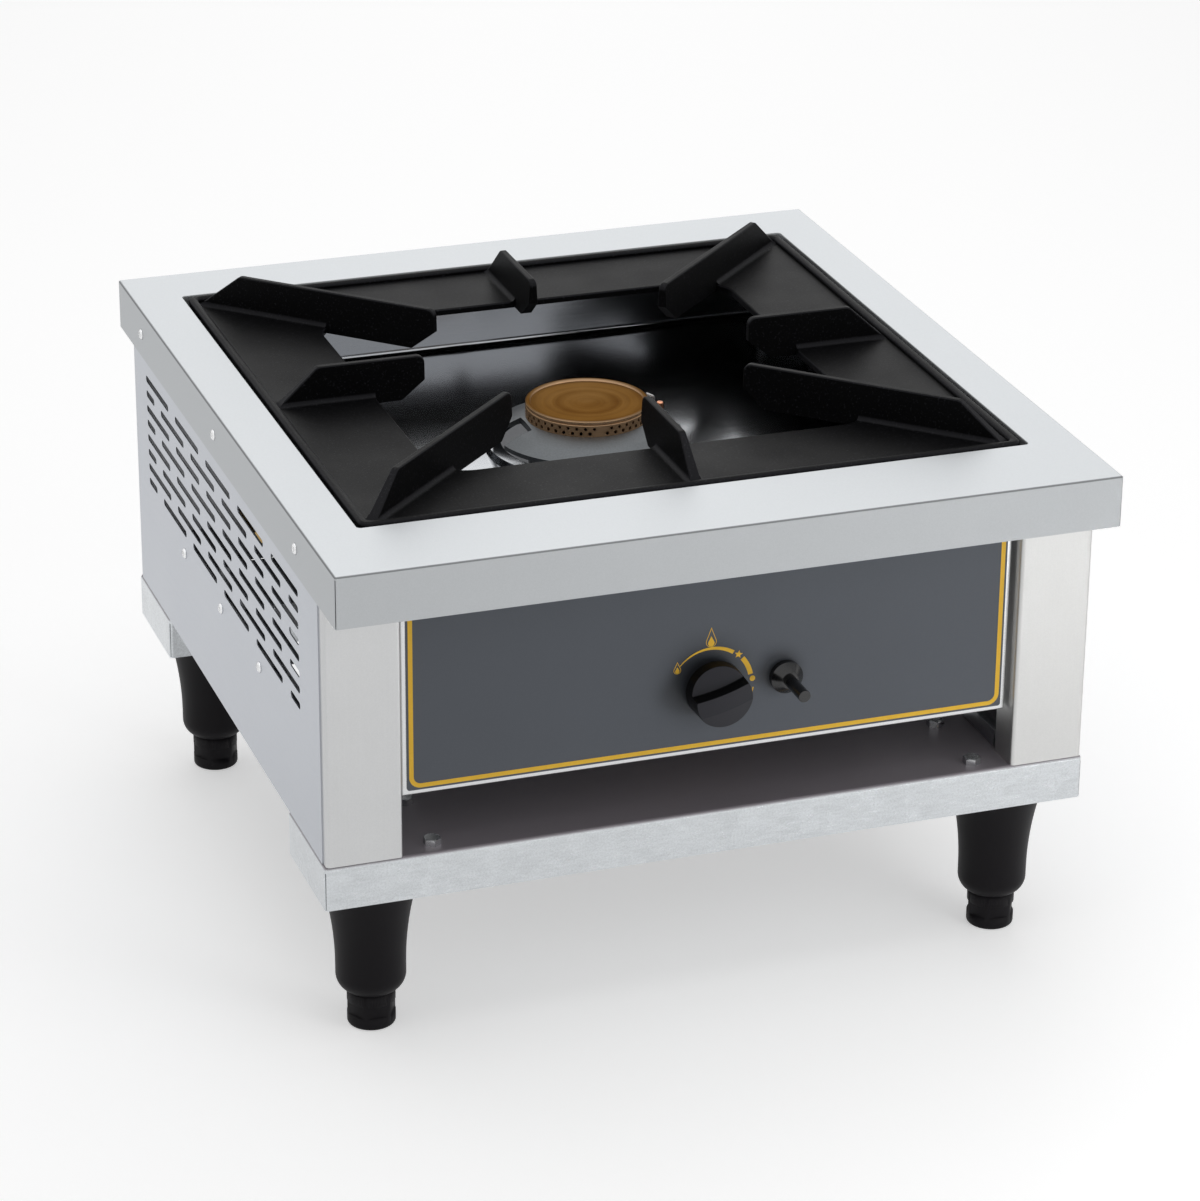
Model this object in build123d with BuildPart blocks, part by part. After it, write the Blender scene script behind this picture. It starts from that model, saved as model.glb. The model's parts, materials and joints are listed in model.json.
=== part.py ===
from build123d import *
import os
from math import atan2, cos, degrees, hypot, pi, radians, sin, sqrt, tan

# Single burner gas stove for market stalls: a folded stainless body on two floor rails and four levelling
# feet, with a cast pan support, a brass burner, a gas tap with its knob, and a push-button igniter.
# Millimetres, +Z up, front towards -Y, origin on the floor under the middle of the top.

# Overall sizes
top_width = 600.0
top_depth = 645.0
foot_height = 124.0
rail_height = 35.0
body_height = 246.0
apron_height = 40.0
front_setback = 41.0
back_setback = 39.0

# Sheet metal
top_sheet = 1.5
panel_sheet = 1.0
post_sheet = 1.5
rail_sheet = 2.0
bend_radius = 3.0
top_bend = 1.8
seam_width = 0.7
seam_reach = 8.0
seam_stop = 2.5

# Top opening and its ledge
side_margin = 40.0
front_margin = 80.0
back_margin = 55.0
lip_depth = 16.0
ledge_width = 12.0
apron_return = 12.0
opening_corner = 3.0
opening_edge = 1.2

# Front posts, sills and rear panel
post_width = 58.0
post_return = 30.0
post_side_flange = 40.0
sill_height = 15.0
sill_foot = 20.0
sill_gap = 3.5
rear_flange = 25.0
panel_set_back = 8.0
panel_top_gap = 0.5
panel_tongue_lap = 7.5
panel_tongue_gap = 1.0

# Side vents and side screws
vent_rows = 8
vent_columns = 5
vent_length = 74.0
vent_gap = 22.0
vent_height = 5.6
vent_row_pitch = 12.7
vent_first_row = 54.7
vent_offset = 6.0
screw_radius = 2.0
screw_clearance = 0.1
screw_head_radius = 4.5
screw_head_height = 2.6
screw_length = 8.0
upper_screw_pitch = 232.0
lower_screw_pitch = 114.0
lower_screw_drop = 162.0

# Rails, feet and their bolts
rail_depth = 100.0
foot_inset = 47.6
foot_plate_width = 89.0
foot_plate_gap = 6.5
foot_plate_thickness = 6.0
foot_plate_corner = 8.0
foot_flare_margin = 1.5
foot_flare_drop = 19.0
foot_neck_radius = 26.5
foot_neck_low = 42.0
foot_neck_high = 50.0
foot_socket_radius = 19.5
ferrule_radius = 18.3
ferrule_height = 29.5
ferrule_gap = 0.3
ferrule_edge = 2.5
ferrule_flats = 33.0
ferrule_flat_low = 9.5
ferrule_flat_high = 19.5
foot_stem_radius = 10.0
foot_stem_length = 52.0
foot_bore_reach = 4.0
running_gap = 0.06
bolt_edge = 6.5
bolt_radius = 4.0
bolt_clearance = 0.3
bolt_head_flats = 12.0
bolt_head_height = 5.3
bolt_crown_share = 0.95
bolt_crown_angle = 30.0
bolt_length = 14.0

# Control panel and printed faceplate
panel_recess = 12.0
panel_gap = 2.5
panel_drop = 203.0
panel_return = 24.0
panel_bend = 1.6
faceplate_border = 4.0
faceplate_corner = 2.0
faceplate_thickness = 0.8
hole_clearance = 0.1

# Knob and its stem
knob_x = 0.0
knob_drop = 148.5
knob_radius = 22.5
knob_depth = 25.0
knob_stand_off = 6.5
knob_pointer_angle = 15.4
knob_draft = 1.8
knob_bar_width = 13.4
knob_bar_draft = 0.8
knob_step = 10.0
knob_step_fillet = 1.6
knob_upper_drop = 16.0
knob_lower_drop = 5.0
knob_arch = 85.0
knob_edge = 0.6
stem_radius = 4.0
stem_length = 42.0
stem_in_knob = 10.0
stem_flat = 1.2
stem_flat_length = 12.0

# Gas tap, its plunger and its screws
tap_flange_width = 50.0
tap_flange_height = 26.0
tap_flange_thickness = 4.0
tap_flange_corner = 8.0
tap_screw_pitch = 38.0
tap_barrel_radius = 13.0
tap_barrel_length = 52.0
tap_magnet_radius = 8.5
tap_magnet_length = 20.0
tap_cavity_radius = 6.2
tap_cavity_length = 24.0
tap_port_back = 34.0
tap_port_radius = 8.0
tap_inlet_reach = 24.0
tap_outlet_reach = 16.0
plunger_radius = 2.5
plunger_head_radius = 5.8
plunger_head = 2.0
plunger_length = 32.0
plunger_bore_reach = 6.0

# Push-button igniter
igniter_spacing = 58.0
igniter_bezel_radius = 12.5
igniter_bezel_depth = 5.0
igniter_cone_depth = 6.0
igniter_nose_radius = 6.5
igniter_barrel_radius = 8.9
igniter_barrel_length = 32.0
igniter_nut_flats = 24.0
igniter_nut_thickness = 4.0
button_radius = 4.7
button_reach = 40.0
button_edge = 0.6
button_head_radius = 6.2
button_head = 3.0
button_cavity_radius = 6.6
button_cavity_start = 8.0
button_cavity_length = 20.0
terminal_radius = 1.5
terminal_length = 8.0

# Springs of the tap and of the igniter
spring_wire_radius = 0.4
spring_radius = 4.2
spring_turns = 5

# Pan support
support_gap = 3.0
support_rim = 7.0
support_rim_rise = 1.0
support_rim_round = 3.0
support_corner = 8.0
web_sink = 3.0
web_thickness = 5.0
web_width = 84.0
web_corner = 30.0
web_edge = 1.5
fin_rise = 26.0
fin_root = 9.0
fin_ridge = 5.4
fin_round = 1.2
fin_fillet = 4.0
fin_inner_radius = 133.0
fin_nose_rise = 7.0
fin_nose_run = 19.0
fin_slope_run = 32.0
fin_corner_slope_run = 37.0
fin_corner_gap = 4.0
fin_shoulder = 6.0

# Spill tray
tray_sheet = 0.8
tray_clearance = 1.0
tray_ledge_gap = 2.0
tray_drop = 51.0
tray_corner = 12.0
tray_bend = 6.0
collar_width = 12.0
collar_rise = 6.0
collar_draft = 2.0
collar_overlap = 6.0
collar_lip = 3.0

# Burner head
head_radius = 48.4
head_top_drop = 27.0
head_height = 12.7
head_lip = 1.6
head_lip_width = 4.0
head_groove = 0.7
head_dish = 2.8
head_roof = 2.6
head_wall = 5.0
head_seat_width = 8.3
head_skirt_wall = 2.6
head_skirt = 6.0
port_count = 44
port_blank_every = 11
upper_port_radius = 1.25
lower_port_radius = 1.4
upper_port_rise = 6.4
lower_port_rise = 2.6

# Burner body
seat_gap = 0.2
shoulder_run = 13.1
shoulder_drop = 5.3
skirt_run = 12.5
skirt_drop = 11.8
skirt_edge = 3.5
cup_wall = 5.7
cup_depth = 38.0
cup_floor = 5.0
neck_radius = 24.0
neck_bore = 18.0
neck_cone = 14.0
tube_radius = 17.0
tube_bore = 12.5
tube_drop = 69.3
tube_floor = 20.0
air_box_start = 117.5
air_box_length = 50.0
air_box_radius = 24.0
air_box_bore = 20.0
air_box_wall = 5.0
window_length = 26.0
window_height = 22.0
window_offset = 12.0
notch_width = 28.0
notch_gap = 2.1
pad_width = 20.0
pad_height = 20.0
pad_drop = 10.0
pad_rise = 1.0
pedestal_radius = 14.0
pedestal_flange = 6.0
pedestal_width = 76.0
pedestal_depth = 36.0
pedestal_corner = 6.0
pedestal_bolt_pitch = 52.0

# Air shutter and injector
shutter_gap = 0.08
shutter_wall = 2.0
shutter_length = 24.0
injector_flats = 14.0
injector_hex = 12.0
injector_radius = 6.0
injector_reach = 10.0
injector_tip = 7.0
injector_tip_radius = 3.0
injector_bore = 0.9

# Burner support
angle_leg = 26.0
angle_shelf = 30.0
angle_sheet = 1.5
angle_length = 270.0
bridge_sheet = 2.0
bridge_depth = 90.0
bridge_flange = 20.0
bridge_end_gap = 0.5
bridge_bolt_inset = 16.0
bridge_bolt_pitch = 60.0

# Pilot bracket, thermocouple and spark electrode
bracket_sheet = 1.2
bracket_width = 26.0
bracket_reach = 22.0
bracket_leg = 15.0
bracket_drop = 15.3
probe_gap = 9.6
probe_spacing = 14.0
probe_radius = 2.8
probe_rise = 22.0
probe_tail = 28.0
probe_nut_radius = 4.5
probe_nut = 5.0
insulator_radius = 3.2
insulator_collar = 4.4
insulator_rise = 9.0
insulator_tail = 22.0
electrode_radius = 1.0
electrode_rise = 21.0
electrode_tail = 32.0
spark_gap = 2.0
lead_radius = 1.7
capillary_radius = 1.5

# Gas inlet and pipes
inlet_x = -200.0
inlet_rise = 41.0
inlet_neck_radius = 11.5
inlet_thread_radius = 10.48
inlet_thread_length = 24.0
inlet_hex_flats = 27.0
inlet_hex = 12.0
inlet_body_radius = 9.0
inlet_body_length = 20.0
inlet_bore = 6.5
inlet_nut_thickness = 6.0
supply_radius = 6.0
supply_bend = 25.0
supply_gap = 3.0
branch_radius = 5.0
branch_bend = 15.0
pipe_wall = 1.0
pipe_nut_length = 8.0
pipe_nut_margin = 3.5
bend_share = 0.45

# Levels and places that follow from the sizes above
rail_bottom = foot_height
rail_top = rail_bottom + rail_height
top_z = rail_top + body_height
top_underside = top_z - top_sheet
body_top = top_z - bend_radius
apron_bottom = top_z - apron_height
body_front = -top_depth / 2 + front_setback
body_back = top_depth / 2 - back_setback
body_depth = body_back - body_front
body_middle = (body_front + body_back) / 2
side_face = top_width / 2
inner_face = side_face - top_sheet
panel_face = inner_face + panel_sheet
rear_inner_face = body_back - panel_sheet
opening_width = top_width - 2 * side_margin
opening_depth = top_depth - front_margin - back_margin
burner_y = (front_margin - back_margin) / 2
ledge_top = top_z - lip_depth
upper_screw_z = top_z - apron_height / 2
lower_screw_z = top_z - lower_screw_drop
vent_middle = body_middle + vent_offset
post_inner = inner_face - post_width
foot_x = side_face - foot_inset
foot_plate_depth = rail_depth - 2 * (rail_sheet + foot_plate_gap)
foot_flare_radius = foot_plate_depth / 2 - foot_flare_margin
bolt_pitch_x = foot_plate_width - 2 * bolt_edge
bolt_pitch_y = foot_plate_depth - 2 * bolt_edge
foot_plate_top = rail_top - rail_sheet
foot_plate_bottom = foot_plate_top - foot_plate_thickness
foot_bottom = ferrule_height + ferrule_gap
panel_front = body_front + panel_recess
panel_back = panel_front + panel_sheet
panel_bottom = max(top_z - panel_drop, rail_top + bolt_head_height + panel_gap)
panel_half = post_inner - panel_gap
faceplate_front = panel_front - faceplate_thickness
control_z = top_z - knob_drop
knob_back = faceplate_front - knob_stand_off
stem_front = knob_back - stem_in_knob
stem_rear = stem_front + stem_length
igniter_x = knob_x + igniter_spacing
tap_port_y = panel_back + tap_port_back
angle_top = lower_screw_z + angle_leg / 2
bridge_top = angle_top + bridge_sheet
bridge_bottom = bridge_top - bridge_flange
inlet_height = min(rail_top + inlet_rise, bridge_bottom - supply_radius - supply_gap)
head_top = top_z - head_top_drop
head_skirt_radius = head_radius - head_seat_width
shoulder_radius = head_radius + shoulder_run
skirt_radius = shoulder_radius + skirt_run
cup_radius = head_skirt_radius + seat_gap + cup_wall
notch_start = head_radius + notch_gap
pad_face = cup_radius + pad_rise
probe_offset = head_radius + probe_gap
collar_hole = skirt_radius - collar_overlap
collar_radius = collar_hole + collar_width
seat_z = head_top - head_height
tube_z = seat_z - tube_drop
air_box_front = burner_y - air_box_start - air_box_length
sides = (("left", -1), ("right", 1))
ends = (("front", body_front + rail_depth / 2), ("rear", body_back - rail_depth / 2))
foot_places = [(f"{end}_{side}", sign * foot_x, y) for end, y in ends for side, sign in sides]

os.makedirs("parts", exist_ok=True)


def save(piece, name):
    """Labels a finished piece and writes it to a file of its own."""
    piece.label = name
    export_step(piece, f"parts/{name}.step")


def front_plane(x, y, z):
    """A plane square to the depth axis, with its normal towards the front and its y axis up."""
    return Plane(origin=(x, y, z), x_dir=(1, 0, 0), z_dir=(0, -1, 0))


def corner_seams(middle_y, width, depth):
    """Slots on the diagonals of a rectangle's four corners, where a folded tray's walls meet."""
    for sign_x in (-1, 1):
        for sign_y in (-1, 1):
            with Locations((sign_x * width / 2, middle_y + sign_y * depth / 2)):
                Rectangle(seam_reach, seam_width, rotation=45 * sign_x * sign_y)


def hex_bolt():
    """A hexagon bolt with its seat at z = 0, its head's corners turned off and its shank downwards."""
    crown = bolt_crown_share * bolt_head_flats / 2
    with BuildPart() as bolt:
        with BuildSketch():
            RegularPolygon(bolt_head_flats / 2, 6, major_radius=False, rotation=30)
        extrude(amount=bolt_head_height)
        Cone(
            crown + bolt_head_height / tan(radians(bolt_crown_angle)),
            crown,
            bolt_head_height,
            align=(Align.CENTER, Align.CENTER, Align.MIN),
            mode=Mode.INTERSECT,
        )
        with BuildSketch():
            Circle(bolt_radius)
        extrude(amount=-bolt_length)
    return bolt.part


def hex_nut(plane, flats, bore, length):
    """A hexagon nut on a plane, standing out along its normal."""
    with BuildPart() as nut:
        with BuildSketch(plane):
            RegularPolygon(flats / 2, 6, major_radius=False)
            Circle(bore, mode=Mode.SUBTRACT)
        extrude(amount=length)
    return nut.part


def bent_tube(points, bends, radius, wall):
    """A round tube along straight runs and tangent bends; a wall of zero makes a solid rod."""
    with BuildPart() as tube:
        with BuildLine() as route:
            FilletPolyline(*points, radius=bends)
        with BuildSketch(Plane(origin=route.line @ 0, z_dir=route.line % 0)):
            Circle(radius)
            if wall:
                Circle(radius - wall, mode=Mode.SUBTRACT)
        sweep(path=route.line)
    return tube.part


def widest_bends(points):
    """The bend radius at each corner of a route that leaves every run room for the bends at both its ends."""
    radii = []
    for before, corner, after in zip(points, points[1:], points[2:]):
        run_in = Vector(corner) - Vector(before)
        run_out = Vector(after) - Vector(corner)
        half_turn = radians(run_in.get_angle(run_out)) / 2
        radii.append(bend_share * min(run_in.length, run_out.length) / tan(half_turn))
    return radii


def coil_spring(start, length):
    """A compression spring along +Y from its start, wound on tangent arcs, a pair to each quarter turn."""
    wire_length = length - 2 * spring_wire_radius
    steps = 4 * spring_turns
    rise = wire_length / (2 * pi * spring_turns)
    slant = hypot(spring_radius, rise)

    def point_and_heading(step):
        angle = step * pi / 2
        around = Vector(spring_radius * cos(angle), 0, spring_radius * sin(angle))
        along = Vector(0, spring_wire_radius + rise * angle, 0)
        heading = Vector(-spring_radius * sin(angle), rise, spring_radius * cos(angle)) * (1 / slant)
        return Vector(start) + around + along, heading

    with BuildPart() as spring:
        with BuildLine() as wire:
            for step in range(steps):
                here, heading = point_and_heading(step)
                there, next_heading = point_and_heading(step + 1)
                chord = there - here
                both = heading + next_heading
                lead = both.dot(both) - 4
                reach = (chord.dot(both) - sqrt(chord.dot(both) ** 2 - lead * chord.dot(chord))) / lead
                if reach < 0:
                    reach = (chord.dot(both) + sqrt(chord.dot(both) ** 2 - lead * chord.dot(chord))) / lead
                first_knee = here + heading * reach
                second_knee = there - next_heading * reach
                middle = (first_knee + second_knee) * 0.5
                TangentArc(here, middle, tangent=heading)
                TangentArc(middle, there, tangent=second_knee - first_knee)
        with BuildSketch(Plane(origin=wire.line @ 0, z_dir=wire.line % 0)):
            Circle(spring_wire_radius)
        sweep(path=wire.line)
    return spring.part


# Stainless top: a tray turned upside down, with an opening whose lip turns down and in to a ledge.
with BuildPart() as top_frame:
    with BuildSketch(Plane.XY.offset(top_z)):
        Rectangle(top_width, top_depth)
    extrude(amount=-apron_height)
    fillet(top_frame.edges().filter_by(Axis.Z), top_bend)
    fillet(top_frame.faces().sort_by(Axis.Z)[-1].edges(), top_bend)
    offset(amount=-top_sheet, openings=top_frame.faces().sort_by(Axis.Z)[0])
    with BuildSketch(Plane.XY.offset(top_underside)):
        with Locations((0, burner_y)):
            Rectangle(opening_width + 2 * top_sheet, opening_depth + 2 * top_sheet)
    extrude(amount=-lip_depth)
    with BuildSketch(Plane.XY.offset(top_z)):
        with Locations((0, burner_y)):
            RectangleRounded(opening_width, opening_depth, opening_corner)
    extrude(amount=-lip_depth, mode=Mode.SUBTRACT)
    with BuildSketch(Plane.XY.offset(ledge_top)):
        with Locations((0, burner_y)):
            Rectangle(opening_width - 2 * ledge_width, opening_depth - 2 * ledge_width)
    extrude(amount=-top_sheet, mode=Mode.SUBTRACT)
    fillet(top_frame.faces().sort_by(Axis.Z)[-1].inner_wires()[0].edges(), opening_edge)
    with BuildSketch(Plane.XY.offset(apron_bottom)):
        for sign in (-1, 1):
            with Locations((0, sign * (top_depth - top_sheet - apron_return) / 2)):
                Rectangle(top_width - 2 * bend_radius, apron_return)
    extrude(amount=top_sheet)
    with BuildSketch(Plane.XY.offset(apron_bottom)):
        corner_seams(0, top_width, top_depth)
    extrude(amount=apron_height - seam_stop, mode=Mode.SUBTRACT)
    with BuildSketch(Plane.YZ.offset(-side_face)):
        with Locations((burner_y, upper_screw_z)):
            with GridLocations(upper_screw_pitch, 1, 3, 1):
                Circle(screw_radius + screw_clearance)
    extrude(amount=top_width, mode=Mode.SUBTRACT)
save(top_frame.part, "top_frame")

# Side panels: sheets laid on the posts, with a brick pattern of vent slots and a tongue behind the apron.
vent_pitch = vent_length + vent_gap
vent_half = (vent_length - vent_gap) / 2
vent_span = vent_columns * vent_length + (vent_columns - 1) * vent_gap
panel_top = apron_bottom - panel_top_gap
tongue_bottom = panel_top - panel_tongue_lap
tongue_front = body_front + post_side_flange + panel_tongue_gap
tongue_back = body_back - rear_flange - panel_tongue_gap
for side, sign in sides:
    with BuildPart() as side_panel:
        with BuildSketch(Plane.YZ.offset(sign * inner_face)):
            with Locations((body_middle, (rail_top + panel_top) / 2)):
                Rectangle(body_depth - 2 * panel_set_back, panel_top - rail_top)
            for row in range(vent_rows):
                with Locations((vent_middle, top_z - vent_first_row - row * vent_row_pitch)):
                    with GridLocations(vent_pitch, 1, vent_columns - row % 2, 1):
                        SlotOverall(vent_length, vent_height, mode=Mode.SUBTRACT)
                    if row % 2:
                        with GridLocations(vent_span - vent_half, 1, 2, 1):
                            SlotOverall(vent_half, vent_height, mode=Mode.SUBTRACT)
            with Locations((vent_middle, lower_screw_z)):
                with GridLocations(lower_screw_pitch, 1, 3, 1):
                    Circle(screw_radius + screw_clearance, mode=Mode.SUBTRACT)
        extrude(amount=sign * panel_sheet)
        with BuildSketch(Plane.YZ.offset(sign * inner_face)):
            with Locations(((tongue_front + tongue_back) / 2, (tongue_bottom + body_top) / 2)):
                Rectangle(tongue_back - tongue_front, body_top - tongue_bottom)
            with Locations((burner_y, upper_screw_z)):
                with GridLocations(upper_screw_pitch, 1, 3, 1):
                    Circle(screw_radius + screw_clearance, mode=Mode.SUBTRACT)
        extrude(amount=-sign * panel_sheet)
    save(side_panel.part, f"side_panel_{side}")

# Dome-headed screws that hold the apron to the side panels' tongues and the side panels to the burner angles.
screw_rows = (
    (side_face, burner_y, upper_screw_pitch, upper_screw_z),
    (panel_face, vent_middle, lower_screw_pitch, lower_screw_z),
)
with BuildPart() as side_screws:
    for sign in (-1, 1):
        for face_x, middle_y, pitch, screw_z in screw_rows:
            for step in (-1, 0, 1):
                seat = (sign * face_x, middle_y + step * pitch, screw_z)
                with BuildSketch(Plane(origin=seat, x_dir=(sign, 0, 0), z_dir=(0, -sign, 0))):
                    with BuildLine():
                        Polyline(
                            (screw_head_height, 0),
                            (-screw_length, 0),
                            (-screw_length, screw_radius),
                            (0, screw_radius),
                            (0, screw_head_radius),
                        )
                        TangentArc((screw_head_height, 0), (0, screw_head_radius), tangent=(0, 1))
                    make_face()
                revolve(axis=Axis(seat, (1, 0, 0)))
save(side_screws.part, "side_screws")

# Front posts: folded channels behind the side panels' front edges, from the rail to the top.
post_fold = bend_radius - post_sheet / 2
for side, sign in sides:
    outer_x = sign * (inner_face - post_sheet / 2)
    inner_x = sign * (post_inner + post_sheet / 2)
    with BuildPart() as front_post:
        with BuildSketch(Plane.XY.offset(rail_top)):
            with BuildLine():
                FilletPolyline(
                    (outer_x, body_front + post_side_flange),
                    (outer_x, body_front + post_sheet / 2),
                    (inner_x, body_front + post_sheet / 2),
                    (inner_x, body_front + post_return),
                    radius=post_fold,
                )
            trace(line_width=post_sheet)
        extrude(amount=body_top - rail_top)
    save(front_post.part, f"front_post_{side}")

# Side sills: angles on the rails that close the foot of the body between a front post and the rear panel.
sill_front = body_front + post_return + sill_gap
for side, sign in sides:
    with BuildPart() as side_sill:
        with BuildSketch(front_plane(0, sill_front, 0)):
            with BuildLine():
                FilletPolyline(
                    (sign * (post_inner + post_sheet / 2), rail_top + sill_height),
                    (sign * (post_inner + post_sheet / 2), rail_top + post_sheet / 2),
                    (sign * (post_inner + sill_foot), rail_top + post_sheet / 2),
                    radius=post_fold,
                )
            trace(line_width=post_sheet)
        extrude(amount=sill_front - rear_inner_face)
    save(side_sill.part, f"side_sill_{side}")

# Rear panel: one sheet with a flange forward at each side and a hole for the gas inlet.
with BuildPart() as rear_panel:
    with BuildSketch(Plane.XY.offset(rail_top)):
        with BuildLine():
            FilletPolyline(
                (panel_sheet / 2 - inner_face, body_back - rear_flange),
                (panel_sheet / 2 - inner_face, body_back - panel_sheet / 2),
                (inner_face - panel_sheet / 2, body_back - panel_sheet / 2),
                (inner_face - panel_sheet / 2, body_back - rear_flange),
                radius=bend_radius - panel_sheet / 2,
            )
        trace(line_width=panel_sheet)
    extrude(amount=body_top - rail_top)
    with BuildSketch(front_plane(inlet_x, body_back, inlet_height)):
        Circle(inlet_neck_radius + hole_clearance)
    extrude(amount=panel_sheet, mode=Mode.SUBTRACT)
save(rear_panel.part, "rear_panel")

# Floor rails: shallow upturned trays across the front and the rear, drilled for the feet.
for end, rail_y in ends:
    with BuildPart() as rail:
        with BuildSketch(Plane.XY.offset(rail_bottom)):
            with Locations((0, rail_y)):
                Rectangle(top_width, rail_depth)
        extrude(amount=rail_height)
        fillet(rail.edges().filter_by(Axis.Z), bend_radius)
        fillet(rail.faces().sort_by(Axis.Z)[-1].edges(), bend_radius)
        offset(amount=-rail_sheet, openings=rail.faces().sort_by(Axis.Z)[0])
        with BuildSketch(Plane.XY.offset(rail_top)):
            for sign in (-1, 1):
                with Locations((sign * foot_x, rail_y)):
                    with GridLocations(bolt_pitch_x, bolt_pitch_y, 2, 2):
                        Circle(bolt_radius + bolt_clearance)
        extrude(amount=-rail_sheet, mode=Mode.SUBTRACT)
        with BuildSketch(Plane.XY.offset(rail_bottom)):
            corner_seams(rail_y, top_width, rail_depth)
        extrude(amount=rail_height - rail_sheet - seam_stop, mode=Mode.SUBTRACT)
    save(rail.part, f"{end}_rail")

# Levelling feet: a moulded trumpet with a bolted plate, and an adjuster whose stem runs up inside it.
for name, x, y in foot_places:
    with BuildPart() as foot:
        with BuildSketch(front_plane(x, y, 0)):
            with BuildLine():
                Line((0, foot_bottom), (foot_socket_radius, foot_bottom))
                TangentArc(
                    (foot_neck_radius, foot_neck_low),
                    (foot_socket_radius, foot_bottom),
                    tangent=(0, -1),
                )
                Line((foot_neck_radius, foot_neck_low), (foot_neck_radius, foot_neck_high))
                TangentArc(
                    (foot_neck_radius, foot_neck_high),
                    (foot_flare_radius, foot_plate_bottom - foot_flare_drop),
                    tangent=(0, 1),
                )
                Polyline(
                    (foot_flare_radius, foot_plate_bottom - foot_flare_drop),
                    (foot_flare_radius, foot_plate_bottom),
                    (0, foot_plate_bottom),
                    (0, foot_bottom),
                )
            make_face()
        revolve(axis=Axis((x, y, 0), (0, 0, 1)))
        with BuildSketch(Plane.XY.offset(foot_plate_bottom)):
            with Locations((x, y)):
                RectangleRounded(foot_plate_width, foot_plate_depth, foot_plate_corner)
                with GridLocations(bolt_pitch_x, bolt_pitch_y, 2, 2):
                    Circle(bolt_radius + bolt_clearance, mode=Mode.SUBTRACT)
        extrude(amount=foot_plate_thickness)
        with BuildSketch(Plane.XY.offset(foot_bottom)):
            with Locations((x, y)):
                Circle(foot_stem_radius + running_gap)
        extrude(amount=foot_stem_length + foot_bore_reach, mode=Mode.SUBTRACT)
    save(foot.part, f"foot_{name}")

    with BuildPart() as adjuster:
        with BuildSketch():
            with Locations((x, y)):
                Circle(ferrule_radius)
        extrude(amount=ferrule_height)
        fillet(adjuster.edges().group_by(Axis.Z)[0], ferrule_edge)
        with BuildSketch(Plane.XY.offset(ferrule_flat_low)):
            with Locations((x, y)):
                Circle(2 * ferrule_radius)
                RegularPolygon(ferrule_flats / 2, 6, major_radius=False, mode=Mode.SUBTRACT)
        extrude(amount=ferrule_flat_high - ferrule_flat_low, mode=Mode.SUBTRACT)
        with BuildSketch(Plane.XY.offset(ferrule_height)):
            with Locations((x, y)):
                Circle(foot_stem_radius)
        extrude(amount=foot_stem_length)
    save(adjuster.part, f"foot_adjuster_{name}")

# Bolts that hold the feet under the rails, four to a foot.
foot_bolt = hex_bolt()
with BuildPart() as foot_bolts:
    for _, x, y in foot_places:
        with Locations((x, y, rail_top)):
            with GridLocations(bolt_pitch_x, bolt_pitch_y, 2, 2):
                add(foot_bolt)
save(foot_bolts.part, "foot_bolts")

# Control panel: a shallow pan set back between the posts, open to the rear.
with BuildPart() as control_panel:
    with BuildSketch(front_plane(0, panel_front, (panel_bottom + top_underside) / 2)):
        Rectangle(2 * panel_half, top_underside - panel_bottom)
    extrude(amount=-panel_return)
    fillet(control_panel.faces().sort_by(Axis.Y)[0].edges(), panel_bend)
    offset(amount=-panel_sheet, openings=control_panel.faces().sort_by(Axis.Y)[-1])
    with BuildSketch(front_plane(knob_x, panel_front, control_z)):
        Circle(stem_radius + 2 * panel_sheet)
        with Locations((igniter_spacing, 0)):
            Circle(igniter_barrel_radius + hole_clearance)
    extrude(amount=-panel_sheet, mode=Mode.SUBTRACT)
save(control_panel.part, "control_panel")

# Printed faceplate: a thin sheet on the front of the control panel, inside its bends.
with BuildPart() as faceplate:
    with BuildSketch(front_plane(0, panel_front, (panel_bottom + top_underside) / 2)):
        RectangleRounded(
            2 * (panel_half - faceplate_border),
            top_underside - panel_bottom - 2 * faceplate_border,
            faceplate_corner,
        )
    extrude(amount=faceplate_thickness)
    with BuildSketch(front_plane(knob_x, panel_front, control_z)):
        Circle(stem_radius + 2 * panel_sheet)
        with Locations((igniter_spacing, 0)):
            Circle(igniter_barrel_radius + hole_clearance)
    extrude(amount=faceplate_thickness, mode=Mode.SUBTRACT)
save(faceplate.part, "faceplate")

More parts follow.
